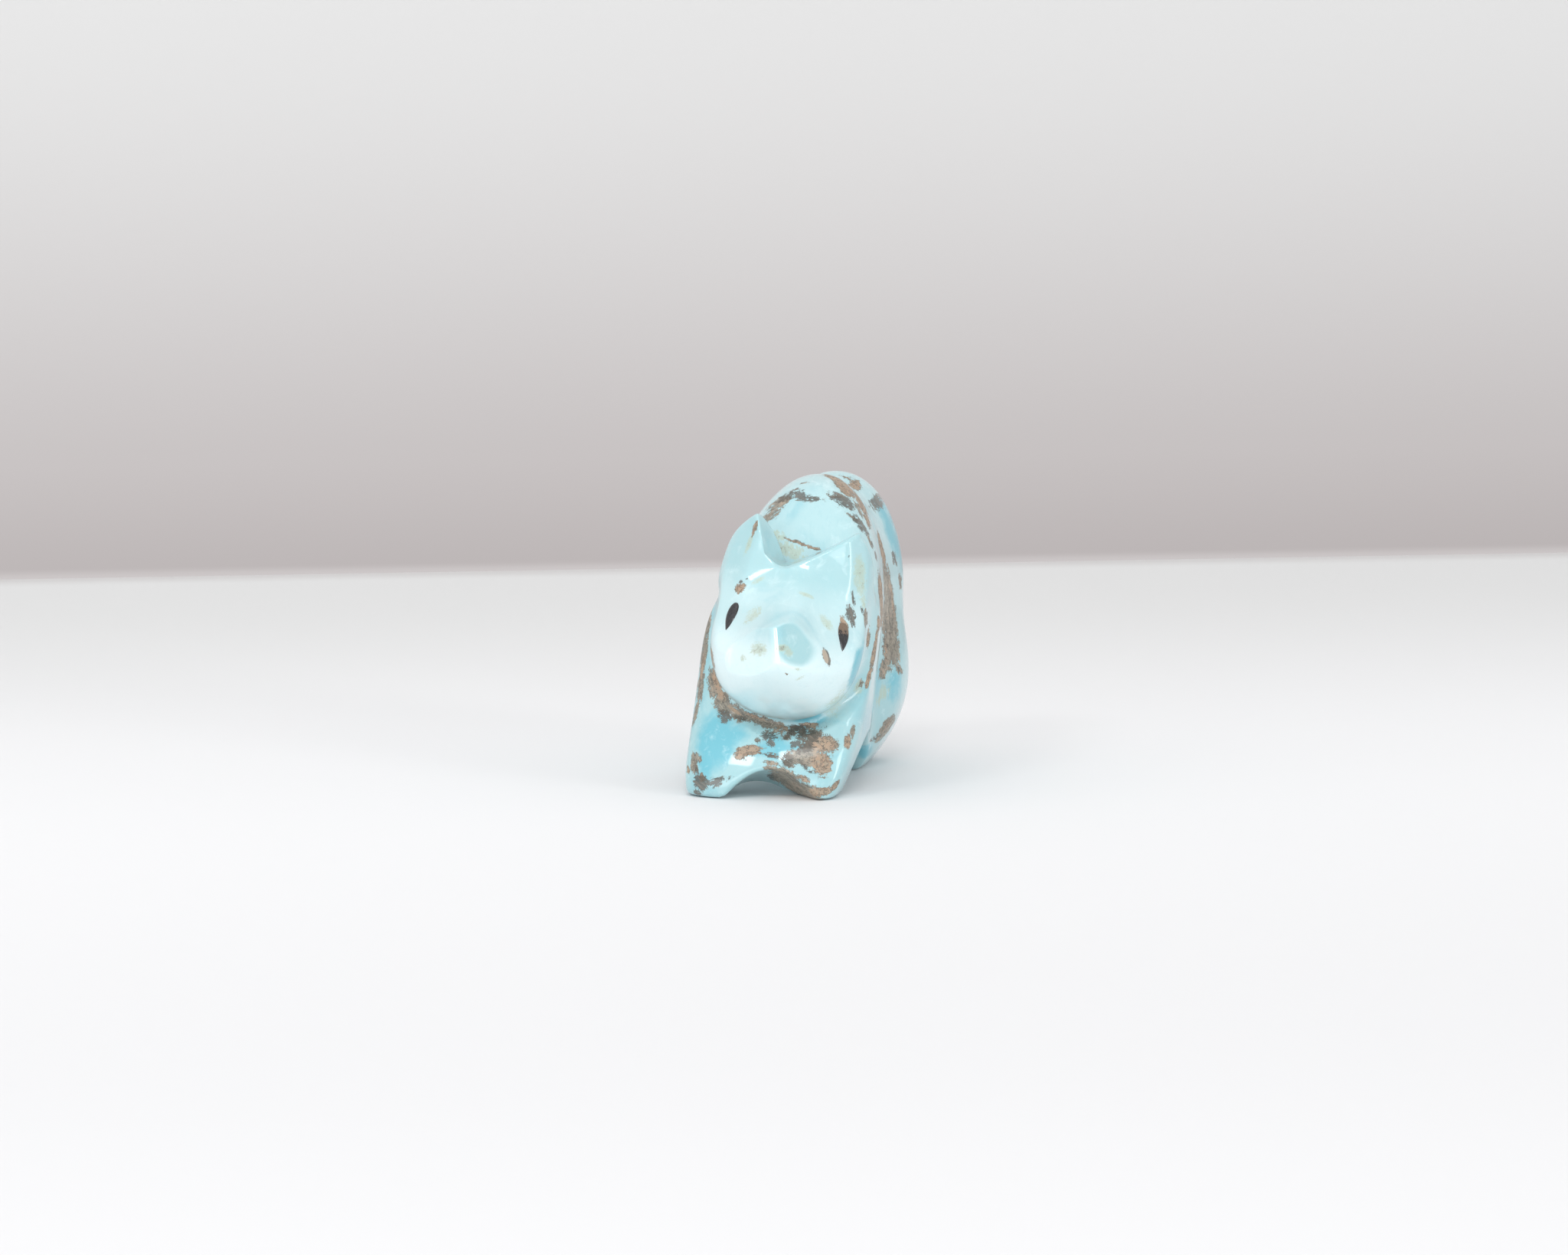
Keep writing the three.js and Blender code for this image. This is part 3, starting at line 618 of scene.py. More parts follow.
# Marks on the hidden sides, in carving units: middle, half length, half width, depth, tilt, strength.
HIDDEN_MARKS = {
    "umber": (
        (-6.3, -6, 9.5, 4.8, 1.2, 1.2, 96, 0.9), (-6.2, -4.2, 8, 2.2, 1, 1, 98, 0.7),
        (-4.6, -2, 16.4, 1.3, 1.5, 1.2, 96, 0.7), (-4.6, -0.4, 15.2, 1.3, 1.5, 1.3, 96, 0.9),
        (-4.7, 1.8, 13.6, 1.2, 1.5, 1.5, 96, 0.9), (-5.2, 3.6, 12.6, 1, 1.6, 1.5, 96, 0.8),
        (-6.7, 9, 8.6, 2, 1.3, 1.3, 110, 0.7), (-6.7, 10.6, 7, 1.3, 1.3, 1, 110, 0.8),
        (0.5, 12.5, 24, 1.5, 0.8, 2.2, 40, 0.8), (2.5, 17.9, 13.5, 2.6, 0.8, 1.2, 75, 0.9),
        (-2.2, 17.5, 9, 1.6, 0.5, 1.4, 50, 0.9),
    ),
    "rust": (
        (-6.2, -5.2, 9, 3.5, 1, 0.8, 98, 0.8), (-4.6, 0.6, 14.4, 1.1, 1.5, 1.4, 96, 0.9),
        (-6.2, 6, 11.6, 0.8, 1.6, 1.4, 96, 0.7), (-1.6, 8, 22.6, 1.4, 1.4, 2.4, 30, 0.8),
        (1, 16.5, 19.5, 1.8, 1.2, 1.6, 60, 0.9),
    ),
    "black": (
        (-4.9, 2.2, 14.4, 0.5, 1.2, 0.9, 96, 0.7), (-7, 11.4, 6.2, 0.7, 1, 0.6, 60, 0.8),
        (0, 17.8, 11, 1.3, 0.5, 1.2, 30, 0.8), (7.3, 14.2, 17.4, 0.9, 0.8, 1, 20, 0.8),
    ),
    "olive": (
        (-3.8, -1, 20, 2, 1.4, 2, 60, 0.7),
    ),
    "deep": (
        (1.5, 17.5, 16, 3.5, 2.5, 2, 90, 0.6), (-4.6, 6.5, 14, 4.5, 3, 4.5, 80, 0.5),
        (-4.8, -3, 16.5, 4, 2.5, 3.5, 90, 0.4), (6.5, 2, 8, 2.5, 3, 3, 0, 0.6),
    ),
}

# A mark's depth is the largest of these shares: of its length, of its width, and of its width
# times the tangent of the stone's slant
DEPTH_SHARES = (0.5, 1.2, 1.3)
LEAST_FACING, MOST_DEPTH = 0.2, 3.5
NO_MARK = -1.6  # the weight far from every mark
# A pixel's ray starts this far before the fore feet, and steps on by a share of the form's value,
# between these limits
RAY_HEAD_START, RAY_STEPS, RAY_SHARE, RAY_LIMITS = 30, 220, 0.6, (-0.5, 3)

# The grain runs round the muzzle within the first rim and back to the first depth, and is gone by
# the second ones
GRAIN_PER_TURN = 3
ROUND_HEAD = SimpleNamespace(rim=(1.3, 1.7), back=(10.5, 13))
# Paleness fades between each pair of places, by the share that is given as a loss. The losses are
# painted light and shade: the face from the nose up is darker, so the jaw below it is painted lighter as
# if lit from the table, and the forehead, the ears and the underside of the jaw are painted shade
PALE_FACE = SimpleNamespace(
    rim=(0.85, 1.15), back=(9, 12), nose=(-2, 1), nose_loss=0.55, brow=(2, 5), brow_loss=0.85,
    jaw=(4.5, 7), jaw_loss=0.4,
)
PALE_CROWN = SimpleNamespace(share=0.25, level=(12, 19), back=(9, 12))


def notched(x, y, z):
    """The carving with the ear notch taken out as well, back to the middle of the notch's end."""
    u, v, t = to_head(x, y, z)
    return np.maximum(carving(x, y, z), np.minimum(v - ear_notch(u, t), np.mean(NOTCH_END) - t))


def seen_blobs(rows):
    """Blobs for marks given by pixels, each laid where its ray first meets the stone.

    A ray steps on by a share of the form's value until that is zero. The depth is enough for the
    blob to reach the surface where it slants away.
    """
    column, row, length, width, tilt, strength = np.array([r[:6] for r in rows], float).T
    place, ray = pixel_rays(column, row)
    ray /= np.linalg.norm(ray, axis=1, keepdims=True)
    reach = np.full(len(rows), CAMERA_AWAY - RAY_HEAD_START)
    for _ in range(RAY_STEPS):
        reach += np.clip(RAY_SHARE * notched(*(place + ray * reach[:, None]).T), *RAY_LIMITS)
    middle = place + ray * reach[:, None]
    facing = np.clip(-(outward(middle, notched) * ray).sum(1), LEAST_FACING, 1)
    slant = np.sqrt(1 - facing**2) / facing
    length, width = length * CAMERA_AWAY / FOCAL_PIXELS, width * CAMERA_AWAY / FOCAL_PIXELS
    by_length, by_width, by_slant = DEPTH_SHARES
    depth = np.max([by_length * length, by_width * width, by_slant * width * slant], 0)
    depth = np.minimum(depth, MOST_DEPTH)
    depth = [given[6] if len(given) > 6 else own for given, own in zip(rows, depth)]
    return np.column_stack([middle, length, width, depth, tilt, strength])


def mark_weight(points, blobs):
    """The strongest of a set of blobs at each point: strength times 1 less the squared distance.

    The distance is that of an ellipsoid with its own half length, half width and depth, turned with
    the camera. The second result is the place along and across that blob, for veins that run along it.
    """
    weight, vein = np.full(len(points), NO_MARK), points.copy()
    stencil = np.stack(camera_frame()[1:])
    flat = points @ stencil.T
    for number, (*middle, length, width, depth, tilt, strength) in enumerate(blobs):
        away = flat - stencil @ np.array(middle)
        c, s = np.cos(np.radians(tilt)), np.sin(np.radians(tilt))
        run = away[:, 0] * c - away[:, 1] * s
        cross = away[:, 0] * s + away[:, 1] * c
        gap = (run / length) ** 2 + (cross / width) ** 2 + (away[:, 2] / depth) ** 2
        here = strength * (1 - gap)
        place = np.stack([run, cross, away[:, 2] + number], -1)
        vein = np.where((here > weight)[:, None], place, vein)
        weight = np.maximum(weight, here)
    return weight, vein


def paleness_and_painted_light(height, u, v, t):
    """How pale the stone is, with painted light and shade in it: the face, but for the painted shade on
    the muzzle's left flat; less from the nose up, which leaves the jaw painted lighter as if lit from
    the table; less on the forehead and into the ears, painted shade; less low on the jaw, painted
    shade under it; and a little of it on the crown."""
    face = (1 - ease(head_outline(u, v), *PALE_FACE.rim)) * (1 - ease(t, *PALE_FACE.back))
    # Painted shade: the muzzle's left flat loses its paleness and so is darker
    face = face * (1 - left_flat_shade(u, v))
    # Painted light: the jaw below the nose stays paler than the face above it
    face = face * (1 - PALE_FACE.nose_loss * ease(v, *PALE_FACE.nose))
    # Painted shade on the forehead and the ears
    face = face * (1 - PALE_FACE.brow_loss * ease(v, *PALE_FACE.brow))
    # Painted shade on the underside of the jaw
    face = face * (1 - PALE_FACE.jaw_loss * ease(-v, *PALE_FACE.jaw))
    return face + PALE_CROWN.share * ease(height, *PALE_CROWN.level) * ease(t, *PALE_CROWN.back)


def write_stone_attributes(mesh, points):
    """What the stone's material reads at each vertex.

    It is the weight of each kind of mark, the deep marks partly painted shade, the place along the
    mark for its veins, a grain that runs round the muzzle, the head where that grain holds, and how
    pale the stone is, with painted light and shade in that paleness.
    """
    weights, veins = {}, {}
    for kind, rows in SEEN_MARKS.items():
        blobs = [*seen_blobs(rows), *HIDDEN_MARKS.get(kind, ())]
        weights[kind], veins[kind] = mark_weight(points, blobs)
        write_attribute(mesh, kind, weights[kind])
    veined = ("umber", "rust", "black")
    first = np.argmax([weights[kind] for kind in veined], 0)
    vein = np.choose(first[:, None], [veins[kind] for kind in veined])
    write_attribute(mesh, "vein", vein, "FLOAT_VECTOR")
    u, v, t = to_head(*points.T)
    du, dv = u - NOSE_U, v - NOSE_V
    grain = np.stack([np.hypot(du, dv), GRAIN_PER_TURN * np.arctan2(du, -dv), t], -1)
    write_attribute(mesh, "grain", grain, "FLOAT_VECTOR")
    round_head = (1 - ease(head_outline(u, v), *ROUND_HEAD.rim)) * (1 - ease(t, *ROUND_HEAD.back))
    write_attribute(mesh, "round_head", round_head)
    # The pale attribute holds painted light and shade on the face as well as the stone's own paleness
    write_attribute(mesh, "pale", paleness_and_painted_light(points[:, 2], u, v, t))


# Materials
class Nodes:
    """Short ways to add shader nodes to one material."""

    def __init__(self, name):
        """A new material with the shader it comes with."""
        self.material = bpy.data.materials.new(name)
        self.material.use_nodes = True
        self.tree = self.material.node_tree
        self.shader = self.tree.nodes["Principled BSDF"]

    def add(self, kind, inputs=(), **settings):
        """A node with its settings, and a link or a value for each of its named inputs."""
        node = self.tree.nodes.new(kind)
        for key, value in settings.items():
            setattr(node, key, value)
        for key, value in dict(inputs).items():
            self.plug(node.inputs[key], value)
        return node

    def plug(self, socket, value):
        """Links a socket where the value is another node's, and else sets it."""
        if isinstance(value, bpy.types.NodeSocket):
            self.tree.links.new(value, socket)
        else:
            socket.default_value = value

    def math(self, operation, a, b=0.0, c=0.0, clamp=False):
        """One operation on up to three numbers."""
        inputs = {0: a, 1: b, 2: c}
        return self.add("ShaderNodeMath", inputs, operation=operation, use_clamp=clamp).outputs[0]

    def attribute(self, name, output="Fac"):
        """A value or vector that write_attribute has put on the mesh."""
        return self.add("ShaderNodeAttribute", attribute_name=name).outputs[output]

    def scaled(self, vector, scale):
        """A vector with each of its parts scaled."""
        return self.add("ShaderNodeMapping", {"Vector": vector, "Scale": scale}).outputs[0]

    def millimetres(self):
        """The place on the object in millimetres."""
        place = self.add("ShaderNodeTexCoord").outputs["Object"]
        return self.scaled(place, (1000, 1000, 1000))

    def noise(self, vector, scale, detail=4.0, roughness=0.6, distortion=0.0):
        """Noise about 0.5."""
        inputs = {
            "Vector": vector, "Scale": scale, "Detail": detail,
            "Roughness": roughness, "Distortion": distortion,
        }
        return self.add("ShaderNodeTexNoise", inputs).outputs["Fac"]

    def spread(self, noise, gain):
        """Noise about zero, widened."""
        return self.math("MULTIPLY", self.math("SUBTRACT", noise, 0.5), gain)

    def blend(self, share, a, b):
        """A mix of two colours."""
        node = self.add("ShaderNodeMix", {"Factor": share}, data_type="RGBA", clamp_factor=True)
        self.plug(node.inputs[6], a)
        self.plug(node.inputs[7], b)
        return node.outputs[2]

    def mix(self, share, a, b):
        """A mix of two numbers."""
        node = self.add("ShaderNodeMix", {0: share, 2: a, 3: b}, data_type="FLOAT")
        return node.outputs[0]

    def step(self, value, low, high):
        """A smooth step from 0 at low to 1 at high."""
        inputs = {"Value": value, "From Min": low, "From Max": high}
        node = self.add("ShaderNodeMapRange", inputs, interpolation_type="SMOOTHSTEP")
        return node.outputs["Result"]

    def partly(self, share, value, low, high):
        """The same step, from 0 to a share of 1."""
        return self.math("MULTIPLY", self.step(value, low, high), share)


def linear(colour):
    """A colour as it is picked on screen, to the shader's linear values and full cover."""
    c = np.array(colour[:3], float)
    c = np.where(c <= 0.04045, c / 12.92, ((c + 0.055) / 1.055) ** 2.4)
    return (*c.tolist(), 1.0)


# How a kind of mark is drawn: gain of its streaks, gain of its ragged edge, the weight at its edge
# and half the width of the change there
MARK_EDGES = {
    "olive": (5.0, 1.6, 0.25, 0.35),
    "rust": (2.6, 4.2, 0.08, 0.1),
    "umber": (3.8, 4.2, 0.08, 0.12),
    "black": (4.6, 5.0, 0.15, 0.12),
}


def stone_patterns(n):
    """The stone's noises, drawn out along the grain round the muzzle, down the flanks and along the
    veins. Their scales are in waves to the millimetre."""
    place = n.millimetres()
    mottle = n.noise(place, 0.75, 5, 0.7, 0.4)
    inputs = {0: n.attribute("grain", "Vector"), 1: n.spread(mottle, 5.0)}
    grain = n.add("ShaderNodeVectorMath", inputs, operation="ADD").outputs[0]
    ring_strokes = n.noise(n.scaled(grain, (4.5, 1.1, 2)), 1.0, 5, 0.7)
    flank_strokes = n.noise(n.scaled(place, (4.2, 3.2, 0.6)), 1.0, 5, 0.7, 0.3)
    along_veins = n.scaled(n.attribute("vein", "Vector"), (0.5, 4.2, 0.4))
    return SimpleNamespace(
        mottle=mottle,
        cloud=n.noise(place, 0.2, 3, 0.6, 0.8),
        ragged=n.noise(place, 2.3, 6, 0.78, 0.2),
        speck=n.noise(place, 3.6, 4, 0.75),
        strokes=n.mix(n.attribute("round_head"), flank_strokes, ring_strokes),
        veins=n.noise(along_veins, 1.0, 6, 0.78, 0.6),
    )


def ground_colour(n, noises, settings):
    """The stone between its marks: blue in clouds and under the deep marks, which are partly the
    stone's blue and partly painted shade, pale in mottles and on the face, where the paleness also
    carries painted light and shade, with blue strokes."""
    pale, blue = linear(settings.pale_colour), linear(settings.blue_colour)
    # The pale attribute carries painted light and shade on the face
    colour = n.blend(n.attribute("pale"), linear(settings.body_colour), pale)
    drifting = n.step(n.spread(noises.cloud, 2.4), -0.1, 0.9)
    drifting = n.math("MULTIPLY", drifting, n.mix(n.attribute("pale"), 0.7, 0.12))
    colour = n.blend(drifting, colour, blue)
    clouds = n.math("ADD", n.spread(noises.cloud, 1.8), n.spread(noises.mottle, 1.3))
    # The deep marks are the stone's blue on the chest and painted shade where the body turns from the light
    colour = n.blend(n.step(n.math("ADD", n.attribute("deep"), clouds), -0.5, 0.55), colour, blue)
    colour = n.blend(n.partly(0.4, n.spread(noises.mottle, 3.0), 0.1, 0.7), colour, pale)
    return n.blend(n.partly(0.2, n.spread(noises.strokes, 3.0), 0.0, 0.8), colour, blue)


def mark_covers(n, noises):
    """The weight of each kind of mark with its streaks and ragged edge, and the mark's cover, which
    is a step about the weight at its edge."""
    weights, covers = {}, {}
    for kind, (streak, rough, edge, width) in MARK_EDGES.items():
        grain = noises.strokes if kind == "olive" else noises.veins
        weight = n.math("ADD", n.attribute(kind), n.spread(grain, streak))
        weights[kind] = n.math("ADD", weight, n.spread(noises.ragged, rough))
        covers[kind] = n.step(weights[kind], edge - width, edge + width)
    for kind in ("umber", "black"):
        covers[kind] = n.math("MULTIPLY", covers[kind], 0.92)
    return weights, covers


def marked_colour(n, noises, settings, colour):
    """Lays the marks on a colour: olive film, brown matrix, rust, and black veins, rims and flecks.

    Returns the colour, the cover of all that is brown and the cover of all that is dark.
    """
    weights, covers = mark_covers(n, noises)
    umber, tan, rust = (
        linear(shade) for shade in (settings.umber_colour, settings.tan_colour, settings.rust_colour)
    )
    colour = n.blend(n.math("MULTIPLY", covers["olive"], 0.55), colour, linear(settings.olive_colour))
    colour = n.blend(n.partly(0.6, weights["olive"], 1.0, 1.5), colour, umber)
    veined = n.spread(noises.veins, 3.4)
    umber_colour = n.blend(n.step(veined, -0.4, 0.3), umber, tan)
    umber_colour = n.blend(n.partly(0.8, veined, 0.2, 0.8), umber_colour, linear(settings.beige_colour))
    umber_colour = n.blend(n.step(n.spread(noises.mottle, 3.0), 0.1, 0.6), umber_colour, rust)
    rust_colour = n.blend(n.step(n.spread(noises.ragged, 3.0), -0.3, 0.4), rust, tan)
    colour = n.blend(covers["umber"], colour, umber_colour)
    colour = n.blend(covers["rust"], colour, rust_colour)
    brown = n.math("MAXIMUM", covers["umber"], covers["rust"])
    specks = n.spread(noises.speck, 3.0)
    middle = n.step(n.math("MAXIMUM", weights["umber"], weights["rust"]), 0.15, 0.5)
    rim = n.math("SUBTRACT", brown, middle)
    rim = n.math("MULTIPLY", rim, n.step(specks, -0.3, 0.1), clamp=True)
    web = n.step(n.math("ABSOLUTE", n.spread(noises.mottle, 1.0)), 0.0, 0.04)
    web = n.math("SUBTRACT", brown, web, clamp=True)
    flecks = n.math("MULTIPLY", brown, n.step(specks, 0.15, 0.4))
    flecks = n.math("MAXIMUM", n.math("MULTIPLY", web, 0.8), flecks)
    flecks = n.math("MULTIPLY", n.math("MAXIMUM", rim, flecks), 0.85)
    dark = n.math("MAXIMUM", covers["black"], flecks)
    black_colour = n.step(n.spread(noises.veins, 3.0), -0.1, 0.5)
    black_colour = n.blend(black_colour, linear(settings.black_colour), umber)
    return n.blend(dark, colour, black_colour), brown, dark


def turquoise_material(settings):
    """Pale turquoise with brown, rust, black and olive marks, polished, with fine wheel strokes."""
    n = Nodes("polished_turquoise")
    noises = stone_patterns(n)
    colour, brown, dark = marked_colour(n, noises, settings, ground_colour(n, noises, settings))
    chip = n.step(n.attribute("chip"), 0.1, 0.3)
    colour = n.blend(chip, colour, linear(settings.chip_colour))
    roughness = n.math("ADD", n.spread(noises.strokes, 0.25), settings.roughness)
    roughness = n.math("ADD", n.math("MULTIPLY", brown, 0.16), roughness, clamp=True)
    strokes = n.math("MULTIPLY", noises.strokes, n.step(noises.cloud, 0.35, 0.65))
    height = n.math("ADD", strokes, n.math("MULTIPLY", noises.speck, 0.1))
    height = n.math("ADD", height, n.math("MULTIPLY", n.math("MAXIMUM", brown, dark), -0.8))
    relief = {"Height": height, "Strength": 0.6, "Distance": settings.relief_mm / 1000}
    bump = n.add("ShaderNodeBump", relief)
    n.plug(n.shader.inputs["Base Color"], colour)
    n.plug(n.shader.inputs["Roughness"], roughness)
    n.plug(n.shader.inputs["Normal"], bump.outputs[0])
    n.shader.inputs["Subsurface Weight"].default_value = 0.25
    n.shader.inputs["Subsurface Radius"].default_value = (0.6, 1.0, 1.0)
    n.shader.inputs["Subsurface Scale"].default_value = 0.0008
    n.shader.inputs["Specular IOR Level"].default_value = 0.4
    n.plug(n.shader.inputs["Metallic"], n.math("MULTIPLY", chip, 0.7))
    n.plug(n.shader.inputs["Coat Weight"], n.math("MULTIPLY_ADD", brown, -0.65, 0.8))
    n.shader.inputs["Coat Roughness"].default_value = 0.06
    return n.material


def jet_material(name, settings, tan):
    """Near-black polished jet with faint lengthwise streaks; tan ones in the upper part of one."""
    n = Nodes(name)
    streaks = n.noise(n.scaled(n.millimetres(), (9, 9, 1.2)), 1.0, 3, 0.6)
    rise = n.math("ADD", n.attribute("rise"), n.spread(streaks, 1.6))
    lighter = linear([1.7 * part for part in settings.jet_colour])
    colour = n.blend(n.step(streaks, 0.45, 0.7), linear(settings.jet_colour), lighter)
    colour = n.blend(n.partly(tan, rise, 0.1, 0.5), colour, linear(settings.inlay_streak_colour))
    n.plug(n.shader.inputs["Base Color"], colour)
    n.plug(n.shader.inputs["Roughness"], n.math("MULTIPLY_ADD", streaks, 0.15, 0.15))
    bump = n.add("ShaderNodeBump", {"Height": streaks, "Strength": 0.4, "Distance": 0.00001})
    n.plug(n.shader.inputs["Normal"], bump.outputs[0])
    n.shader.inputs["Coat Weight"].default_value = 0.3
    return n.material


# Eyes
# Each inlay sits on a bevel, with its point down and outwards. Depths are in carving units.
EYE_SIDES = {"right": -1, "left": 1}
EYE_TAN = {"right": 0.0, "left": 0.8}  # how much of the tan streaks shows
EYE_PLACE = SimpleNamespace(middle=-0.13, spread=4.6, rise=0.55, slant=10.3 * DEG)
EYE_RAY_START, EYE_FOOT = 1.2, 0.9  # how deep a ray starts, and how deep the inlay reaches
EYE_LIFT, DOME_POWER = 0.01, 6
EYE_COLUMNS, EYE_ROWS = 96, 12
PINCH_POWER, PINCH_GAIN = 0.8, 1.32


def almond(turn, length, width):
    """Outline of an inlay: x is width/2 sin(turn), pinched by a power of the cosine of half the turn
    to a point at the bottom, and y is length/2 cos(turn)."""
    pinch = np.abs(np.cos(turn / 2)) ** PINCH_POWER * PINCH_GAIN
    return width / 2 * np.sin(turn) * pinch, length / 2 * np.cos(turn)


def eye_points(side, settings):
    """An inlay: rings of its outline shrunk to the middle, laid on the stone and raised in a low
    dome, then a wall down into the stone and a flat bottom. The dome is 1 less a power of the
    ring's size. The second result is each point's place from the point, -1, to the top, 1."""
    u, v, slant = EYE_PLACE.middle + EYE_PLACE.spread * side, EYE_PLACE.rise, EYE_PLACE.slant * side
    middle = from_head(u, v, face_depth(np.float64(u), np.float64(v)))
    normal = outward(middle[None])[0]
    steps = ((-np.sin(slant), np.cos(slant), 0.0), (0.0, 0.0, 1.0))
    rise, back = (from_head(*step) - from_head(0.0, 0.0, 0.0) for step in steps)
    up = rise - (rise @ normal) / (back @ normal) * back
    up /= np.linalg.norm(up)
    across = np.cross(up, normal)
    turn = np.linspace(0, 2 * np.pi, EYE_COLUMNS, endpoint=False)
    x, y = almond(turn, settings.length_mm, settings.width_mm)
    share = np.concatenate([[0], np.sin(np.linspace(0, np.pi / 2, EYE_ROWS)[1:]), [1, 0]])
    sunk = np.concatenate([np.zeros(EYE_ROWS), [1, 1]])
    flat = middle + share[:, None, None] * (x[:, None] * across + y[:, None] * up)
    starts = (flat - EYE_RAY_START * normal).reshape(-1, 3)
    onto = leave_stone(starts, np.broadcast_to(normal, starts.shape)).reshape(flat.shape)
    dome = settings.dome_mm * (1 - share**DOME_POWER) + EYE_LIFT
    points = onto + dome[:, None, None] * normal
    points = np.where(sunk[:, None, None] > 0, flat - EYE_FOOT * normal, points)
    rows = np.concatenate([points[:1, 0], points[1:-1].reshape(-1, 3), points[-1:, 0]])
    height = np.broadcast_to(share[1:-1, None] * y, (EYE_ROWS, len(y))).ravel()
    return rows, np.concatenate([[0], height, [0]]) / (settings.length_mm / 2)


# Stage
# Lengths are in metres. The table's edge is given by two pixels of the photograph's frame.
TABLE_EDGE = ((100, 759), (1900, 728))
TABLE_OVERRUN, TABLE_FRONT = 1.2, 1.6
BACKDROP_GAP, BACKDROP_FOOT, BACKDROP_TOP = 0.16, 0.15, 0.75
# Where the painted shade on the papers begins and ends: darker from the origin towards the camera,
# darker before the table's edge, darker down the backdrop to its foot, and a thin lighter band, also
# painted, where it meets the table in the photograph
NEAR_FLOOR_SHADE, FAR_FLOOR_SHADE, FLOOR_EDGE_SHADE = (0.0, 0.13), (0.16, 0.03), 0.009
BACKDROP_SHADE, GLOW = (-0.075, 0.03), 0.0015
BEAR_MIDDLE = np.array([0, -0.005, 0.014])
# Name, degrees to the bear's left of straight ahead, degrees up, distance, size, watts
SOFT_BOXES = (
    ("top_box", -150, 72, 0.60, (0.80, 0.60), 0.50),
    ("left_box", -62, 34, 0.65, (0.50, 0.45), 0.2),
    ("key_box", -28, 37, 0.60, (0.13, 0.07), 0.36),
    ("front_box", 8, 42, 0.55, (0.18, 0.06), 0.58),
    ("low_box", -10, 6, 0.60, (0.70, 0.18), 1.1),
    ("right_strip", 60, 14, 0.55, (0.12, 0.26), 0.6),
)
STEEP_LIGHT = 0.95  # a light that points down by more than this takes its sides from the Y axis
SENSOR_WIDTH = 36  # of the camera, in millimetres


def make_camera():
    """The photograph's camera, which becomes the scene's."""
    place, right, up, ahead = camera_frame()
    data = bpy.data.cameras.new("camera")
    data.sensor_width = SENSOR_WIDTH
    data.lens = FOCAL_PIXELS / IMAGE_WIDTH * data.sensor_width
    data.clip_start, data.clip_end = 0.01, 20
    camera = bpy.data.objects.new("camera", data)
    camera.matrix_world = matrix(right, up, -ahead, placed(place))
    bpy.context.scene.collection.objects.link(camera)
    bpy.context.scene.camera = camera


def matrix(x, y, z, place):
    """A 4 by 4 matrix from three directions and a place."""
    rows = np.eye(4)
    rows[:3, :3] = np.stack([x, y, z], -1)
    rows[:3, 3] = place
    return Matrix(rows)


def seen_on(column, row, normal, level):
    """The point in metres where the ray through a pixel meets the plane normal . point = level."""
    place, ray = pixel_rays(column, row)
    start = placed(place)
    ray = placed(place + ray) - start
    return start + ray * (level - start @ normal) / (ray @ normal)


def make_sheet(name, corners, material):
    """A flat stage piece from its corner points, taken in turn round it."""
    mesh = bpy.data.meshes.new(name)
    mesh.from_pydata([tuple(c) for c in corners], [], [tuple(range(len(corners)))])
    mesh.materials.append(material)
    sheet = bpy.data.objects.new(name, mesh)
    bpy.context.scene.collection.objects.link(sheet)


def paper_material(name, colour, shades):
    """Matt paper. Each shade is (colour, way, low, high): along that way the paper changes softly
    into the colour between low and high."""
    n = Nodes(name)
    place = n.add("ShaderNodeTexCoord").outputs["Object"]
    result = linear(colour)
    for shade, way, low, high in shades:
        dot = n.add("ShaderNodeVectorMath", {0: place, 1: tuple(way)}, operation="DOT_PRODUCT")
        result = n.blend(n.step(dot.outputs["Value"], low, high), result, linear(shade))
    n.plug(n.shader.inputs["Base Color"], result)
    n.shader.inputs["Roughness"].default_value = 0.9
    n.shader.inputs["Specular IOR Level"].default_value = 0.1
    return n.material


def area_light(name, place, target, size, watts):
    """A soft box at a place, facing a target, both in metres."""
    data = bpy.data.lights.new(name, "AREA")
    data.shape = "RECTANGLE"
    data.size, data.size_y = size
    data.energy = watts
    back = (place - target) / np.linalg.norm(place - target)
    side = np.cross((0, 1, 0) if abs(back[2]) > STEEP_LIGHT else (0, 0, 1), back)
    side /= np.linalg.norm(side)
    light = bpy.data.objects.new(name, data)
    light.matrix_world = matrix(side, np.cross(back, side), back, place)
    bpy.context.scene.collection.objects.link(light)


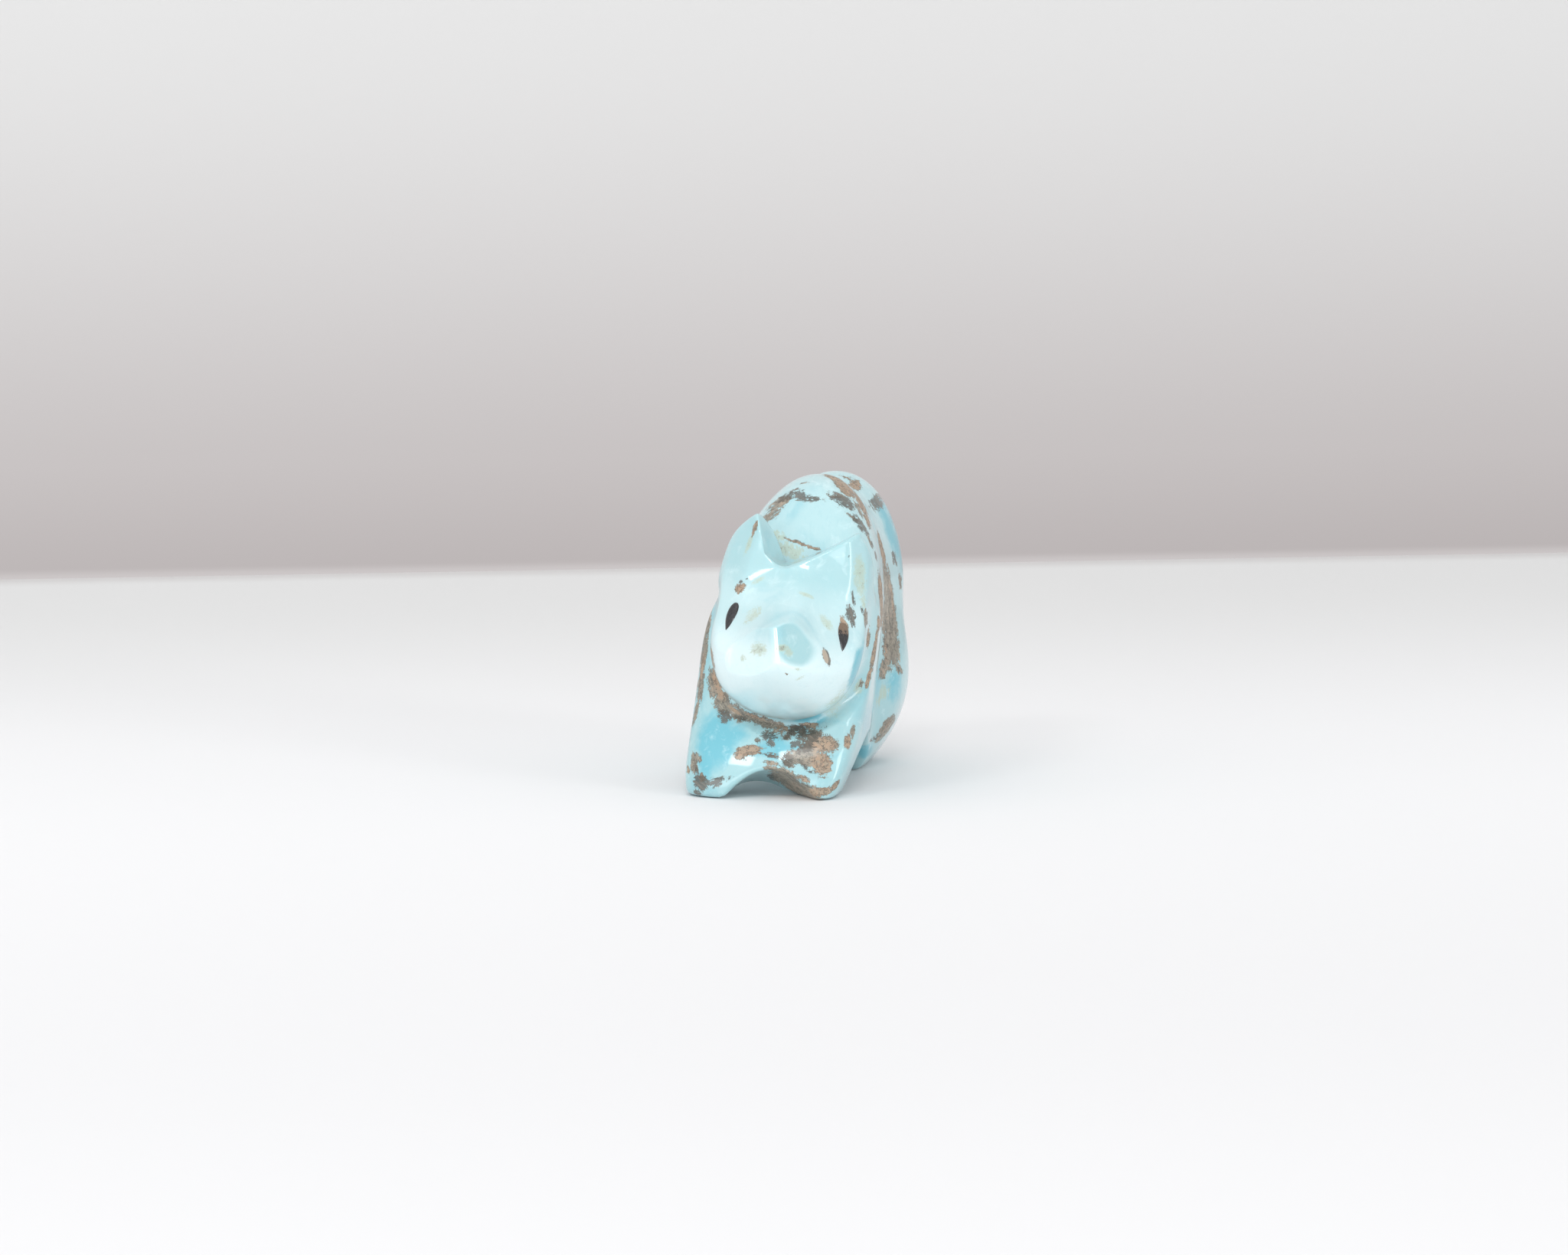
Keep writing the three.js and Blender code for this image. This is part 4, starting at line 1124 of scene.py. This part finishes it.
def lay_papers(settings):
    """The table up to its edge in the photograph, and the backdrop that stands behind it."""
    upright = np.array([0.0, 0.0, 1.0])
    left, right = (seen_on(*pixel, upright, 0) for pixel in TABLE_EDGE)
    run = (right - left) / np.linalg.norm(right - left)
    away = np.cross(upright, run)
    left, right = left - TABLE_OVERRUN * run, right + TABLE_OVERRUN * run
    near, edge = -TABLE_FRONT * away, left @ away
    # Painted shade on the table: darker towards the camera, towards the far part and at the edge
    shades = [
        (settings.near_floor_shade_colour, -away, *NEAR_FLOOR_SHADE),
        (settings.far_floor_shade_colour, away, edge - FAR_FLOOR_SHADE[0], edge - FAR_FLOOR_SHADE[1]),
        (settings.edge_shade_colour, away, edge - FLOOR_EDGE_SHADE, edge),
    ]
    paper = paper_material("table_paper", settings.floor_colour, shades)
    make_sheet("table", [left + near, right + near, right, left], paper)
    gap = BACKDROP_GAP * away
    base, top = -BACKDROP_FOOT * upright, BACKDROP_TOP * upright
    foot = [seen_on(*pixel, away, edge + BACKDROP_GAP) for pixel in TABLE_EDGE]
    down = np.cross(away, (foot[1] - foot[0]) / np.linalg.norm(foot[1] - foot[0]))
    # Painted shade down the backdrop's foot, and a thin painted band, lighter than it, where it meets the
    # table
    shades = [
        (settings.backdrop_shade_colour, -upright, *BACKDROP_SHADE),
        (settings.glow_colour, down, foot[0] @ down - GLOW, foot[0] @ down),
    ]
    wall = paper_material("backdrop_paper", settings.backdrop_colour, shades)
    corners = [left + gap + base, right + gap + base, right + gap + top, left + gap + top]
    make_sheet("backdrop", corners, wall)


# Settings
def colour_property(name, description, default):
    """A colour as it is picked on screen."""
    return FloatVectorProperty(
        name=name, description=description, subtype="COLOR", min=0, max=1, default=default
    )


class BearStoneSettings(PropertyGroup):
    """Colours and finish of the stone"""

    body_colour: colour_property("Body", "Turquoise of the body", (0.625, 0.78, 0.80))
    pale_colour: colour_property("Pale", "Palest turquoise, on the face", (0.835, 0.915, 0.925))
    # The strongest blue is the stone's own on the chest; on the rump it also stands for painted shade
    blue_colour: colour_property("Blue", "Strongest blue, on the chest and rump", (0.41, 0.705, 0.765))
    olive_colour: colour_property("Olive", "Thin olive film in the stone", (0.70, 0.73, 0.62))
    rust_colour: colour_property("Rust", "Orange-brown matrix", (0.685, 0.58, 0.49))
    tan_colour: colour_property("Tan", "Light matrix", (0.61, 0.565, 0.50))
    beige_colour: colour_property("Beige", "Lightest streaks of the matrix", (0.82, 0.76, 0.70))
    umber_colour: colour_property("Umber", "Dark brown matrix", (0.475, 0.43, 0.38))
    black_colour: colour_property("Black", "Black matrix", (0.31, 0.305, 0.28))
    chip_colour: colour_property("Chip", "Bright grain beside the muzzle", (0.78, 0.73, 0.66))
    roughness: FloatProperty(
        name="Roughness", description="Of the polished stone", min=0, max=1, default=0.34
    )
    relief_mm: FloatProperty(
        name="Relief", description="Depth of the wheel strokes, in millimetres", min=0, default=0.02
    )


class BearEyeSettings(PropertyGroup):
    """Size, dome and colours of the inlays"""

    length_mm: FloatProperty(
        name="Length", description="Of one inlay, in millimetres", min=0.5, default=2.5
    )
    width_mm: FloatProperty(
        name="Width", description="Of one inlay, in millimetres", min=0.3, default=1.0
    )
    dome_mm: FloatProperty(
        name="Dome", description="Rise over the stone, in millimetres", min=0, default=0.06
    )
    jet_colour: colour_property("Jet", "Of the inlays", (0.13, 0.13, 0.14))
    inlay_streak_colour: colour_property("Streaks", "In the left inlay", (0.50, 0.42, 0.35))


class BearStageSettings(PropertyGroup):
    """Papers and light of the stage"""

    floor_colour: colour_property("Floor", "Of the table round the bear", (0.925, 0.925, 0.93))
    # The near floor, far floor, edge and backdrop foot colours are painted shade on the papers; the glow is
    # a thin painted band, lighter than that shade, where the backdrop meets the table
    near_floor_shade_colour: colour_property("Near floor", "Of the near part of the table", (0.88, 0.88, 0.885))
    far_floor_shade_colour: colour_property("Far floor", "Of the far part of the table", (0.88, 0.88, 0.88))
    edge_shade_colour: colour_property("Edge", "Of the table where it meets the backdrop", (0.82, 0.81, 0.81))
    glow_colour: colour_property("Glow", "Of the backdrop just over the table", (0.79, 0.77, 0.77))
    backdrop_colour: colour_property("Backdrop", "Of the upper backdrop", (0.865, 0.865, 0.865))
    backdrop_shade_colour: colour_property("Backdrop foot", "Of its lower part", (0.72, 0.695, 0.695))
    world_strength: FloatProperty(
        name="Sky", description="Strength of the even light", min=0, default=0.775
    )
    light_strength: FloatProperty(
        name="Lights", description="Strength of the soft boxes together", min=0, default=1
    )


# Operators
class BearCarveSkin(Operator):
    """Make the bear's stone: the carved surface on a fine grid, with its marks and its polish"""

    bl_idname = "bear.carve_skin"
    bl_label = "Carve skin"

    def execute(self, context):
        points = skin_points()
        quads, triangles = sphere_faces(ROWS_ALONG - 1, ROWS_AROUND)
        material = turquoise_material(context.scene.bear_stone)
        piece = build_mesh("bear_skin", points, quads, triangles, material, "bear_carving")
        write_stone_attributes(piece.data, points)
        return {"FINISHED"}


class BearInlayEyes(Operator):
    """Make the two jet inlays, each an almond that follows the stone and stands in its socket"""

    bl_idname = "bear.inlay_eyes"
    bl_label = "Inlay eyes"

    def execute(self, context):
        settings = context.scene.bear_eyes
        for name, side in EYE_SIDES.items():
            points, height = eye_points(side, settings)
            quads, triangles = sphere_faces(EYE_ROWS, EYE_COLUMNS)
            material = jet_material(f"{name}_jet", settings, EYE_TAN[name])
            node = f"{name}_eye_inlay"
            piece = build_mesh(f"{name}_eye", points, quads, triangles, material, node)
            write_attribute(piece.data, "rise", height)
        return {"FINISHED"}


class BearSetStage(Operator):
    """Lay the table and backdrop, hang the soft boxes and set the camera"""

    bl_idname = "bear.set_stage"
    bl_label = "Set stage"

    def execute(self, context):
        settings = context.scene.bear_stage
        make_camera()
        lay_papers(settings)
        for name, side, rise, distance, size, watts in SOFT_BOXES:
            place = distance * direction(side * DEG, rise * DEG)
            area_light(name, place + BEAR_MIDDLE, BEAR_MIDDLE, size, watts * settings.light_strength)
        world = bpy.data.worlds.new("studio")
        world.use_nodes = True
        sky = world.node_tree.nodes["Background"]
        sky.inputs["Color"].default_value = (1, 1, 1, 1)
        sky.inputs["Strength"].default_value = settings.world_strength
        context.scene.world = world
        context.scene.view_settings.view_transform = "Standard"
        return {"FINISHED"}


class BearPanel(Panel):
    """The bear's pieces and their settings"""

    bl_idname = "BEAR_PT_pieces"
    bl_label = "Carved bear"
    bl_space_type = "VIEW_3D"
    bl_region_type = "UI"
    bl_category = "Bear"

    def draw(self, context):
        for name, label, operator in (
            ("bear_stone", "Stone", BearCarveSkin),
            ("bear_eyes", "Eyes", BearInlayEyes),
            ("bear_stage", "Stage", BearSetStage),
        ):
            box = self.layout.box()
            box.label(text=label)
            settings = getattr(context.scene, name)
            for key in settings.__annotations__:
                box.prop(settings, key)
            box.operator(operator.bl_idname)


SETTINGS = {
    "bear_stone": BearStoneSettings,
    "bear_eyes": BearEyeSettings,
    "bear_stage": BearStageSettings,
}
OPERATORS = (BearCarveSkin, BearInlayEyes, BearSetStage)


def register():
    """Registers the classes and puts the settings on the scene."""
    for kind in (*SETTINGS.values(), *OPERATORS, BearPanel):
        bpy.utils.register_class(kind)
    for name, kind in SETTINGS.items():
        setattr(bpy.types.Scene, name, PointerProperty(type=kind))


def unregister():
    """Takes all that away again."""
    for name in SETTINGS:
        delattr(bpy.types.Scene, name)
    for kind in reversed((*SETTINGS.values(), *OPERATORS, BearPanel)):
        bpy.utils.unregister_class(kind)


def main():
    """Makes the bear and its stage."""
    register()
    bpy.ops.bear.carve_skin()
    bpy.ops.bear.inlay_eyes()
    bpy.ops.bear.set_stage()


if __name__ == "__main__":
    main()
